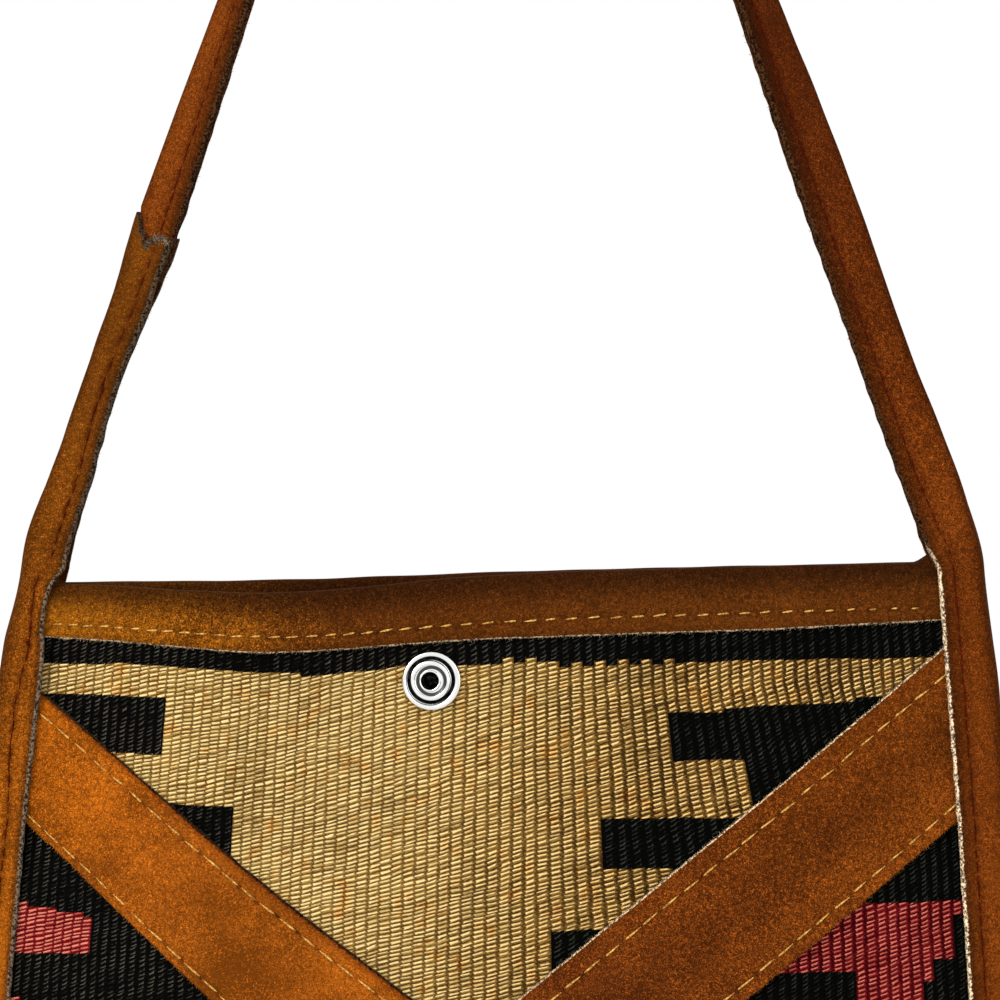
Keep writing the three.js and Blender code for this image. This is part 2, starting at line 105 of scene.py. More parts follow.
def smoothstep(value: Reals, low: float, high: float) -> Array:
    """Rise from 0 at low to 1 at high with level ends."""
    share = np.clip((value - low) / (high - low), 0.0, 1.0)
    return share * share * (3.0 - 2.0 * share)


def bell(distance: Reals, reach: float) -> Array:
    """Fall from 1 at no distance to about a third at the reach."""
    return np.exp(-((distance / reach) ** 2))


def swelling(at: Reals, size: float, middle: float, reach: float) -> Reals:
    """Bump of a size about a middle."""
    return size * bell(at - middle, reach)


def climb(at: Reals, size: float, start: float, end: float) -> Reals:
    """Climb to a size between two places."""
    return size * smoothstep(at, start, end)


def shade_ends(at: Array, shades: Pair, places: Numbers) -> Array:
    """Shade that fades out between the first two places and comes back between the last two."""
    return shades[0] * (1.0 - smoothstep(at, *places[:2])) + climb(at, shades[1], *places[2:])


def linear(colour: Colour) -> tuple[float, float, float, float]:
    """Turn a colour as seen on screen, 0 to 255, into Blender's linear colour."""
    shares = [channel / 255.0 for channel in colour]
    red, green, blue = (c / 12.92 if c <= 0.04045 else ((c + 0.055) / 1.055) ** 2.4 for c in shares)
    return red, green, blue, 1.0


def waves(points: Array, length: float, seed: int, count: int = 9) -> Array:
    """Soft random unevenness, as a sum of plane waves.

    Args:
        points: Places, one row each.
        length: Middle wave length.
        seed: Seed of the directions and phases.
        count: Number of waves.

    Returns:
        A value of about -1 to 1 for each place.
    """
    rng = np.random.default_rng(seed)
    directions = rng.normal(size=(count, 3))
    directions /= np.linalg.norm(directions, axis=1, keepdims=True)
    turns = directions * (2.0 * math.pi / (length * rng.uniform(0.6, 1.7, size=(count, 1))))
    phases = rng.uniform(0.0, 2.0 * math.pi, size=count)
    return np.sin(points @ turns.T + phases).sum(axis=1) / math.sqrt(2.0 * count)


def place_mesh(name: str, points: Sequence, faces: Sequence) -> Object:
    """Put a new mesh in the scene as an object at the origin.

    Args:
        name: Name of the piece.
        points: Places of its vertices.
        faces: Vertex numbers of its faces.

    Returns:
        The new object.
    """
    mesh = bpy.data.meshes.new(name)
    mesh.from_pydata(points, [], faces)
    obj = bpy.data.objects.new(name, mesh)
    bpy.context.scene.collection.objects.link(obj)
    return obj


def pick(obj: Object) -> None:
    """Select one object alone and make it the active one."""
    bpy.ops.object.select_all(action="DESELECT")
    obj.select_set(True)
    bpy.context.view_layer.objects.active = obj


def added(operator: Callable[..., set[str]], **settings: object) -> Object:
    """Add an object by one of Blender's operators, selected alone."""
    bpy.ops.object.select_all(action="DESELECT")
    operator(**settings)
    return bpy.context.object


def smooth(obj: Object) -> Object:
    """Shade an object smoothly all over."""
    pick(obj)
    bpy.ops.object.shade_smooth()
    return obj


@contextmanager
def editing(obj: Object) -> Iterator[None]:
    """Hold an object in edit mode with all of its mesh selected.

    Args:
        obj: The object.

    Returns:
        An iterator for the with statement.
    """
    pick(obj)
    bpy.ops.object.mode_set(mode="EDIT")
    bpy.ops.mesh.select_all(action="SELECT")
    try:
        yield
    finally:
        bpy.ops.object.mode_set(mode="OBJECT")


def face_outwards(obj: Object) -> None:
    """Turn all faces of an object outwards."""
    with editing(obj):
        bpy.ops.mesh.normals_make_consistent(inside=False)


def apply_modifier(obj: Object, kind: str, **settings: object) -> None:
    """Add a modifier of Blender's type to an object, with its settings, and apply it."""
    pick(obj)
    modifier = obj.modifiers.new(kind.lower(), kind)
    for key, value in settings.items():
        setattr(modifier, key, value)
    bpy.ops.object.modifier_apply(modifier=modifier.name)


def vertex_array(mesh: Mesh, what: str = "co") -> Array:
    """Read a vector of every vertex, its place by default, as an array of rows."""
    values = np.empty(3 * len(mesh.vertices))
    mesh.vertices.foreach_get(what, values)
    return values.reshape(-1, 3)


def set_vertices(mesh: Mesh, points: Array) -> None:
    """Write the place of every vertex of a mesh."""
    mesh.vertices.foreach_set("co", points.ravel())
    mesh.update()


def set_attribute(mesh: Mesh, name: str, values: Array, domain: str = "POINT") -> None:
    """Write one number, which materials read by its name, for every vertex or face of a mesh."""
    attribute = mesh.attributes.get(name) or mesh.attributes.new(name, "FLOAT", domain)
    attribute.data.foreach_set("value", np.asarray(values, dtype=np.float32))


def zip_rows(one: Array, other: Array, keys: Array | None = None,
             other_keys: Array | None = None) -> list[tuple[int, ...]]:
    """Close the gap between two rows of vertices with triangles.

    Args:
        one: Vertex numbers of the first row.
        other: Vertex numbers of the second row, which may be of another length.
        keys: How far along the gap each vertex of the first row lies, where the steps are uneven.
        other_keys: The same for the second row.

    Returns:
        The triangles.
    """
    keys = np.linspace(0.0, 1.0, len(one)) if keys is None else keys
    other_keys = np.linspace(0.0, 1.0, len(other)) if other_keys is None else other_keys
    faces = []
    i = j = 0
    while i + 1 < len(one) or j + 1 < len(other):
        if j + 1 == len(other) or (i + 1 < len(one) and keys[i + 1] <= other_keys[j + 1]):
            faces.append((int(one[i]), int(one[i + 1]), int(other[j])))
            i += 1
        else:
            faces.append((int(one[i]), int(other[j + 1]), int(other[j])))
            j += 1
    return faces


def quad_corners(grid: Array) -> Array:
    """Values at the four corners of each quad of a grid, along a new third axis."""
    return np.stack((grid[:-1, :-1], grid[:-1, 1:], grid[1:, 1:], grid[1:, :-1]), axis=2)


def finish_piece(obj: Object, material: Material, nodes: Sequence[str] = ()) -> None:
    """Dress a piece, let it ride on the bag and hide the solids that it replaces.

    Args:
        obj: The piece.
        material: Its material.
        nodes: Solids that it replaces.
    """
    obj.data.materials.clear()
    obj.data.materials.append(material)
    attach(obj, "root")
    if nodes:
        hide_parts(*nodes)
    LOG.info("%s: %d triangles", obj.name, sum(len(face.vertices) - 2 for face in obj.data.polygons))


class Signal:
    """Value that runs through a shader, on which arithmetic adds math nodes."""

    def __init__(self, graph: "NodeGraph", socket: NodeSocket) -> None:
        """Stand for an output socket in a graph."""
        self.graph = graph
        self.socket = socket

    def __add__(self, other: "Value") -> "Signal":
        """Add a value."""
        return self.graph.math("ADD", self, other)

    def __sub__(self, other: "Value") -> "Signal":
        """Take a value away."""
        return self.graph.math("SUBTRACT", self, other)

    def __rsub__(self, other: float) -> "Signal":
        """Take this value away from a number."""
        return self.graph.math("SUBTRACT", other, self)

    def __mul__(self, other: "Value") -> "Signal":
        """Multiply by a value."""
        return self.graph.math("MULTIPLY", self, other)

    def __truediv__(self, other: "Value") -> "Signal":
        """Divide by a value."""
        return self.graph.math("DIVIDE", self, other)

    def __abs__(self) -> "Signal":
        """Drop the sign."""
        return self.graph.math("ABSOLUTE", self)

    def __floor__(self) -> "Signal":
        """Round down."""
        return self.graph.math("FLOOR", self)


Value = Signal | NodeSocket | float | tuple


class NodeGraph:
    """Short way to add shader nodes to a tree and wire them."""

    MIX_COLOURS = (6, 7)
    MIX_RESULT = 2

    def __init__(self, tree: NodeTree) -> None:
        """Start on a tree."""
        self.tree = tree

    def wire(self, socket: NodeSocket, value: Value) -> None:
        """Link a socket to another one, or set its value."""
        value = value.socket if isinstance(value, Signal) else value
        if isinstance(value, NodeSocket):
            self.tree.links.new(value, socket)
        else:
            socket.default_value = value

    def add(self, kind: str, inputs: dict[str, Value] | None = None, **settings: object) -> Node:
        """Add a node.

        Args:
            kind: Blender's type of the node, without its ShaderNode in front.
            inputs: Values or sockets for its inputs, by name.
            settings: Values of the node itself.

        Returns:
            The node.
        """
        node = self.tree.nodes.new(kind if kind.startswith("Node") else "ShaderNode" + kind)
        for key, value in settings.items():
            setattr(node, key, value)
        for key, value in (inputs or {}).items():
            self.wire(node.inputs[key], value)
        return node

    def read(self, kind: str, output: str, inputs: dict[str, Value] | None = None,
             **settings: object) -> Signal:
        """Add a node and give its output of a name."""
        return Signal(self, self.add(kind, inputs, **settings).outputs[output])

    def math(self, operation: str, *values: Value) -> Signal:
        """Add a math node and give its result."""
        node = self.add("Math", operation=operation)
        for socket, value in zip(node.inputs, values):
            self.wire(socket, value)
        return Signal(self, node.outputs[0])

    def split(self, kind: str, value: Signal) -> list[Signal]:
        """Part a vector (XYZ) or a colour (Color) into its three numbers."""
        node = self.add("Separate" + kind)
        self.wire(node.inputs[0], value)
        return [Signal(self, socket) for socket in node.outputs]

    def plane(self, x: Signal, y: Signal) -> Signal:
        """Join two numbers into a place on a plane."""
        return self.read("CombineXYZ", "Vector", {"X": x, "Y": y})

    def dice(self, dimensions: str, **inputs: Value) -> list[Signal]:
        """Throw three numbers from 0 to 1 for each value of the inputs."""
        return self.split("Color", self.read("TexWhiteNoise", "Color", inputs, noise_dimensions=dimensions))

    def ramp(self, value: Value, low: Value, high: Value, start: float = 0.0, end: float = 1.0) -> Signal:
        """Map a value from low..high to start..end with level ends."""
        inputs = {"Value": value, "From Min": low, "From Max": high, "To Min": start, "To Max": end}
        return self.read("MapRange", "Result", inputs, interpolation_type="SMOOTHSTEP")

    def blend(self, share: Value, first: Value, second: Value, blend_type: str = "MIX") -> Signal:
        """Mix two colours by a share."""
        node = self.add("Mix", data_type="RGBA", blend_type=blend_type)
        for index, value in zip((0, *self.MIX_COLOURS), (share, first, second)):
            self.wire(node.inputs[index], value)
        return Signal(self, node.outputs[self.MIX_RESULT])

    def dim(self, colour: Value, level: Signal) -> Signal:
        """Multiply a colour by a number."""
        grey = self.read("CombineColor", "Color", {"Red": level, "Green": level, "Blue": level})
        return self.blend(1.0, colour, grey, "MULTIPLY")

    def attribute(self, name: str) -> Signal:
        """Read a number that the mesh carries."""
        return self.read("Attribute", "Fac", attribute_name=name)

    def place(self) -> Signal:
        """Read the place on the piece, in metres."""
        return self.read("TexCoord", "Object")

    def noise(self, place: Value, scale: Value, detail: float = 2.0, roughness: float = 0.5) -> Signal:
        """Add noise of a scale, in turns per unit of the place."""
        inputs = {"Vector": place, "Scale": scale, "Detail": detail, "Roughness": roughness}
        return self.read("TexNoise", "Fac", inputs)

    def group(self, effect: "Effect", **inputs: Value) -> dict[str, Signal]:
        """Place a shared effect and give its outputs by name."""
        node = self.add("Group", node_tree=effect.tree())
        for key, value in inputs.items():
            self.wire(node.inputs[key], value)
        return {socket.name: Signal(self, socket) for socket in node.outputs}

    def dress(self, shader: Node, colour: Signal, height: Signal, strength: float, distance: float) -> None:
        """Give a shader its colour and its fine relief."""
        self.wire(shader.inputs["Base Color"], colour)
        bump = self.read("Bump", "Normal", {"Height": height, "Strength": strength, "Distance": distance})
        self.wire(shader.inputs["Normal"], bump)


@dataclass(frozen=True)
class Effect:
    """Shader node group that several finishes share, with number inputs and outputs."""

    name: str
    inputs: tuple[str, ...]
    fill: Callable[..., dict[str, Signal]]

    def tree(self) -> NodeTree:
        """Give the group, built on its first use.

        Returns:
            The node tree.
        """
        tree = bpy.data.node_groups.get(self.name)
        if tree is None:
            tree = bpy.data.node_groups.new(self.name, "ShaderNodeTree")
            graph = NodeGraph(tree)
            for label in self.inputs:
                tree.interface.new_socket(label, in_out="INPUT", socket_type="NodeSocketFloat")
            into = graph.add("NodeGroupInput")
            made = self.fill(graph, *(Signal(graph, into.outputs[label]) for label in self.inputs))
            for label in made:
                tree.interface.new_socket(label, in_out="OUTPUT", socket_type="NodeSocketFloat")
            graph.add("NodeGroupOutput", made)
        return tree


def suede_nap(graph: NodeGraph, grain: Signal, patches: Signal) -> dict[str, Signal]:
    """Suede nap: fine grain with light specks and brushed patches.

    Args:
        graph: Graph of the group.
        grain: Strength of the grain.
        patches: Strength of the patches.

    Returns:
        Its tone, specks and height.
    """
    place = graph.place()
    fine = graph.noise(place, 2900.0, 2.0, 0.7)
    coarse = graph.noise(place, 1000.0, 2.0, 0.6)
    rough = (coarse - 0.5) * 0.5 + (fine - 0.5)
    cloud = graph.noise(place, 70.0, 4.0, 0.6) - 0.5 + (graph.noise(place, 19.0) - 0.5)
    tone = rough * grain + 0.5 + cloud * patches
    return {"Tone": tone, "Speck": graph.ramp(fine, 0.58, 0.74), "Height": fine + coarse}


def ragged_rim(graph: NodeGraph, cut: Signal, edge: Signal) -> dict[str, Signal]:
    """Ragged rim of a cut edge.

    Args:
        graph: Graph of the group.
        cut: How close a place is to the cut.
        edge: How close the rim starts.

    Returns:
        Its mask.
    """
    torn = graph.noise(graph.place(), 1400.0, 3.0, 0.7) - 0.5
    inputs = {"Value": cut + torn * 1.1, "From Min": edge, "From Max": edge + 0.25}
    return {"Mask": graph.read("MapRange", "Result", inputs)}


def spun_fibre(graph: NodeGraph, scale: Signal) -> dict[str, Signal]:
    """Streaks and small knots of a yarn or thread."""
    return {"Tone": graph.noise(graph.place(), scale, 3.0)}


NAP = Effect("suede_nap", ("Grain", "Patches"), suede_nap)
RAGGED = Effect("ragged_rim", ("Cut", "Edge"), ragged_rim)
SPUN = Effect("spun_fibre", ("Scale",), spun_fibre)


def new_material(name: str, constants: dict[str, Value]) -> tuple[Material, NodeGraph, Node]:
    """Start a material.

    Args:
        name: Name of the material.
        constants: Plain values of its shader.

    Returns:
        The material, a graph on its tree and its Principled node.
    """
    material = bpy.data.materials.new(name)
    material.use_nodes = True
    material.node_tree.nodes.clear()
    graph = NodeGraph(material.node_tree)
    shader = graph.add("BsdfPrincipled", constants)
    graph.add("OutputMaterial", {"Surface": shader.outputs["BSDF"]})
    return material, graph, shader


@dataclass(frozen=True)
class SuedeFinish:
    """Napped suede whose tone drifts from one colour to another, between two places in X and Z."""

    name: str
    tone: Colour
    far_tone: Colour
    drift_from: Pair
    drift_to: Pair
    rim: Colour
    shaded: Colour
    far_rim: Colour | None = None
    rim_heights: Pair = mm(-307.0, -297.0)
    grain: float = 2.9
    patches: float = 0.6
    rim_edge: float = 0.5
    # Colour of the painted shade in needle holes and seam creases.
    hole: Colour = (28, 12, 4)
    speck_gain: float = 0.9
    ragged_drift: float = 0.55
    contrast: float = 1.2
    level: float = 0.86
    darkest: float = 0.5
    rim_scale: float = 1700.0
    rim_fibres: Numbers = (0.4, 0.6, 0.15, 1.9)
    sheen: Colour = (255, 170, 80)

    def material(self) -> Material:
        """Build the material.

        Returns:
            The material.
        """
        material, graph, shader = new_material(self.name, {
            "Roughness": 0.95, "Specular IOR Level": 0.03, "Sheen Weight": 0.03, "Sheen Roughness": 0.4,
            "Sheen Tint": linear(self.sheen)})
        x, _, z = graph.split("XYZ", graph.place())
        start = Vector(self.drift_from)
        way = Vector(self.drift_to) - start
        way /= way.length_squared
        nap = graph.group(NAP, Grain=self.grain, Patches=self.patches)
        uneven = nap["Tone"] - 0.5
        drift = (x - start.x) * way.x + (z - start.y) * way.y - uneven * self.ragged_drift
        colour = graph.blend(graph.ramp(drift, 0.0, 1.0), linear(self.tone), linear(self.far_tone))
        # Painted shade, by the shade that each strip carries; on the V it also gives the brushed middle the
        # suede's own darker tone.
        colour = graph.blend(graph.attribute("shade"), colour, linear(self.shaded))
        level = graph.math("MAXIMUM", uneven * self.contrast + self.level, self.darkest)
        level = level * (nap["Speck"] * self.speck_gain + 1.0)
        rim = graph.group(RAGGED, Cut=graph.attribute("cut"), Edge=self.rim_edge)["Mask"]
        colour = graph.blend(rim, graph.dim(colour, level), self._rim_colour(graph, z))
        # Painted shade in the needle holes and creases of the seams.
        colour = graph.blend(graph.attribute("seam_shade"), colour, linear(self.hole))
        graph.dress(shader, colour, nap["Height"], 0.5, 0.12 * MM)
        return material

    def _rim_colour(self, graph: NodeGraph, height: Signal) -> Signal:
        """Colour of the cut edges, which may change with height, speckled by their fibres."""
        colour: Value = linear(self.rim)
        if self.far_rim is not None:
            colour = graph.blend(graph.ramp(height, *self.rim_heights), colour, linear(self.far_rim))
        fibre = graph.group(SPUN, Scale=self.rim_scale)["Tone"]
        return graph.dim(colour, graph.ramp(fibre, *self.rim_fibres))


@dataclass(frozen=True)
class YarnColours:
    """Colours of one yarn of the kilim: in the gaps between the floats, darkened partly by painted shade, on
    the floats, and on their painted highlights.
    """

    gap: Colour
    body: Colour
    glint: Colour


@dataclass(frozen=True)
class WeaveFinish:
    """Weft-faced wool: slanted floats over ribs, with a yarn for each float, and shade and highlights painted
    onto the floats.

    The weave coordinates count ribs across and floats down. Each face of the cloth knows its float and
    the yarns of that float and of the ones above and below, so colours change along whole floats. Pairs
    of values hold on the left and on the right of the cloth, between the two places of the drift.
    """

    name: str
    ribs: int
    floats: int
    slants: Pair = (0.95, 1.7)
    slant_spread: float = 0.4
    reaches: Pair = (0.46, 0.38)
    thicknesses: Pair = (0.22, 0.17)
    # Widths of the painted shade in the valleys between the ribs, on the left and on the right.
    valleys: Pair = (0.14, 0.28)
    drift: Pair = mm(-36.0, 48.0)
    drift_height: float = -0.36
    drift_slope: float = 0.15
    mottle: float = 60.0 * MM
    nesting: float = 0.12
    hook: float = 3.6
    cloud_scale: float = 48.0
    wobble_scales: Pair = (0.37, 0.3)
    wobble: float = 1.1
    edge_wobble: float = 0.8
    edge_lean: float = 0.1
    streak_scales: Pair = (1.4, 3.6)
    streak_body: float = 0.8
    streak_glint: float = 1.1
    weft_scales: Pair = (0.14, 3.7)
    weft_spread: float = 0.7
    fibre_scale: float = 2600.0
    rib_spread: float = 0.22
    body_spread: float = 0.5
    # How far the painted shade reaches in from the edges of a float.
    lid: Pair = (0.05, 0.3)
    bank_start: float = -0.02
    glint_spread: float = 0.26
    glint_rise: float = 0.08
    glint_taper: float = 0.1
    black_glint_size: Pair = (0.36, 0.17)
    black_glint_slope: float = 0.8
    black_glint_shine: Pair = (0.3, 1.1)
    rust_scale: float = 230.0
    rust_range: Pair = (0.52, 0.74)
    rust: Colour = (255, 228, 200)
    # Gap colours hold painted shade, and glint colours painted highlights.
    near: dict[Yarn, YarnColours] = field(default_factory=lambda: {
        Yarn.TAN: YarnColours((88, 62, 24), (166, 131, 68), (245, 216, 150)),
        Yarn.BLACK: YarnColours((3, 3, 2), (8, 7, 5), (84, 80, 70)),
        Yarn.RED: YarnColours((78, 3, 8), (144, 32, 36), (224, 132, 108)),
    })
    far: dict[Yarn, YarnColours] = field(default_factory=lambda: {
        Yarn.TAN: YarnColours((50, 31, 10), (131, 96, 41), (242, 203, 132)),
        Yarn.BLACK: YarnColours((2, 2, 1), (4, 4, 3), (54, 54, 48)),
        Yarn.RED: YarnColours((52, 1, 5), (126, 25, 28), (212, 116, 96)),
    })

    def material(self) -> Material:
        """Build the material.

        Returns:
            The material.
        """
        material, graph, shader = new_material(self.name, {"Roughness": 0.9, "Specular IOR Level": 0.03})
        u, v, _ = graph.split("XYZ", graph.read("UVMap", "UV", uv_map="weave"))
        x, _, z = graph.split("XYZ", graph.place())
        level = v * float(self.floats)
        across = u * float(self.ribs)
        nested = graph.math("COSINE", level * (2.0 * math.pi)) * graph.math("COSINE", across * math.pi)
        across = across - nested * self.nesting
        rib = math.floor(across)
        side = across - rib - 0.5
        lean = side * (side * side * self.hook + 1.0)
        row = level + rib * 0.5
        cloud = graph.noise(graph.place(), self.cloud_scale, 3.0) - 0.5
        # Drift from left to right and down: the darker colours and deeper valleys there are partly the yarn's
        # own, partly painted shade of light from the upper left.
        drift = graph.ramp(x + cloud * self.mottle - (z - self.drift_height) * self.drift_slope, *self.drift)
        rib_slant, rib_tone, _ = graph.dice("1D", W=rib)
        slant = self._shift(drift, self.slants) + (rib_slant - 0.5) * self.slant_spread
        wobble = self._streaks(rib, level, self.wobble_scales) - 0.5
        down = row + lean * slant * 0.5 + wobble * self.wobble
        pick_row = math.floor(down)
        height = down - pick_row - 0.5
        odd = graph.math("FRACT", rib * 0.5)
        edge = math.floor(row + wobble * self.edge_wobble + odd - 0.25 + lean * self.edge_lean)
        own_body, own_high, own_shine = graph.dice("3D", Vector=graph.plane(rib, pick_row))
        streak = self._streaks(across, down, self.streak_scales, roughness=0.6)
        weft_tone = self._streaks(across, pick_row, self.weft_scales, detail=1.0) - 0.5
        fibre = graph.group(SPUN, Scale=self.fibre_scale)["Tone"] - 0.5
        tone = weft_tone * self.weft_spread + cloud + fibre + (rib_tone - 0.5) * self.rib_spread
        # Painted shade: each float darkens towards its edges and into the valleys between the ribs.
        lid = graph.ramp(0.5 - abs(height), *self.lid)
        bank = graph.ramp(0.5 - abs(side), self.bank_start, self._shift(drift, self.valleys))
        body = lid * bank * (streak * self.streak_body + 0.6) + tone + (own_body - 0.5) * self.body_spread
        # Painted highlight: a bright stroke on the upper part of each float.
        high = (own_high - 0.5) * self.glint_spread - self.glint_rise
        thick = self._shift(drift, self.thicknesses) - side * self.glint_taper
        spot = self._spot(side + 0.04, self._shift(drift, self.reaches), height - high, thick)
        glint = spot * (own_shine + streak * self.streak_glint - 0.05 + tone)
        # Painted highlight on the black floats: a thin, steeper stroke.
        steep = high - (side - 0.1) * self.black_glint_slope
        length, width = self.black_glint_size
        black_glint = self._spot(side - 0.08, length, height - steep, width)
        black_glint = black_glint * graph.ramp(own_shine * 0.4 + streak + tone, *self.black_glint_shine)
        yarn = self._yarn(graph, edge + 0.5 - rib * 0.5)
        rust = graph.ramp(graph.noise(graph.place(), self.rust_scale, 3.0), *self.rust_range)
        colour = self._yarn_colour(Yarn.TAN, body, glint, drift)
        colour = graph.blend(rust, colour, linear(self.rust), "MULTIPLY")
        for kind, bright in ((Yarn.BLACK, black_glint), (Yarn.RED, glint)):
            share = graph.math("COMPARE", yarn, float(kind), 0.5)
            colour = graph.blend(share, colour, self._yarn_colour(kind, body, bright, drift))
        graph.dress(shader, colour, body + spot * 0.5 + fibre * 0.35, 0.6, 0.3 * MM)
        return material

    @staticmethod
    def _shift(drift: Signal, ends: Pair) -> Signal:
        """Value that goes from one number on the left of the cloth to another on the right."""
        return drift * (ends[1] - ends[0]) + ends[0]

    @staticmethod
    def _streaks(across: Signal, down: Signal, scales: Pair, **kind: float) -> Signal:
        """Noise on the weave, in turns per rib and per float."""
        graph = across.graph
        return graph.noise(graph.plane(across * scales[0], down * scales[1]), 1.0, **kind)

    @staticmethod
    def _spot(along: Signal, reach: Value, over: Signal, thick: Value) -> Signal:
        """Painted highlight stroke on a float, from the way along and over it and its half length and
        thickness.
        """
        along, over = along / reach, over / thick
        return along.graph.ramp(along * along + over * over, 0.2, 1.3, 1.0, 0.0)

    @staticmethod
    def _yarn(graph: NodeGraph, centre: Signal) -> Signal:
        """Yarn of a float, which may be the one above or below that of the face."""
        ahead = centre - graph.attribute("pick")
        above = graph.math("LESS_THAN", ahead, -0.6)
        below = graph.math("GREATER_THAN", ahead, 0.6)
        own = (1.0 - above - below) * graph.attribute("yarn")
        return own + above * graph.attribute("yarn_up") + below * graph.attribute("yarn_down")

    def _yarn_colour(self, kind: Yarn, body: Signal, glint: Signal, drift: Signal) -> Signal:
        """Colour of one yarn from its painted shade and painted highlights, on the left and on the right."""
        graph, near, far = drift.graph, self.near[kind], self.far[kind]
        pairs = ((near.gap, far.gap), (near.body, far.body), (near.glint, far.glint))
        gap, lit, bright = (graph.blend(drift, linear(one), linear(other)) for one, other in pairs)
        body, glint = (graph.read("Clamp", "Result", {"Value": value}) for value in (body, glint))
        return graph.blend(glint, graph.blend(body, gap, lit), bright)


@dataclass(frozen=True)
class ThreadFinish:
    """Sewing thread or loose fibre."""

    name: str
    dark: Colour
    light: Colour
    roughness: float = 0.9
    gloss: float = 0.05
    fibre_scale: float = 1500.0

    def material(self) -> Material:
        """Build the material.

        Returns:
            The material.
        """
        constants = {"Roughness": self.roughness, "Specular IOR Level": self.gloss}
        material, graph, shader = new_material(self.name, constants)
        tone = graph.group(SPUN, Scale=self.fibre_scale)["Tone"]
        colour = graph.blend(graph.ramp(tone, 0.3, 0.7), linear(self.dark), linear(self.light))
        graph.dress(shader, colour, tone, 0.4, 0.1 * MM)
        return material


@dataclass(frozen=True)
class Groove:
    """Ring of painted shade on the plate of a turned piece, which may lie off the axis."""

    radius: float
    half_width: float
    strength: float = 1.0
    aside: float = 0.0
    raised: float = 0.0


@dataclass(frozen=True)
class PlateFinish:
    """Bright nickel plate, with painted shade and dark reflections in its grooves and inside."""

    name: str
    axis: Pair = (0.0, 0.0)
    grooves: tuple[Groove, ...] = ()
    bright: Colour = (240, 240, 237)
    painted_shade_colour: Colour = (3, 3, 3)

    def material(self) -> Material:
        """Build the material.

        Returns:
            The material.
        """
        material, graph, shader = new_material(self.name, {"Metallic": 1.0})
        dust = graph.noise(graph.place(), 900.0, 3.0, 0.6)
        x, _, z = graph.split("XYZ", graph.place())
        # Painted shade and dark reflections: inside the snap and in the rings of its grooves, dish and hole.
        painted_shade = graph.attribute("inside")
        for groove in self.grooves:
            across, up = x - (self.axis[0] + groove.aside), z - (self.axis[1] + groove.raised)
            off = abs(graph.math("SQRT", across * across + up * up) - groove.radius)
            ring = graph.ramp(off, 0.7 * groove.half_width, groove.half_width, groove.strength, 0.0)
            painted_shade = graph.math("MAXIMUM", painted_shade, ring)
        painted_shade = painted_shade * graph.ramp(dust, 0.2, 0.6, 0.97, 1.0)
        graph.wire(shader.inputs["Base Color"], graph.blend(painted_shade, linear(self.bright), linear(self.painted_shade_colour)))
        graph.wire(shader.inputs["Roughness"], graph.ramp(dust, 0.3, 0.8, 0.14, 0.26))
        return material


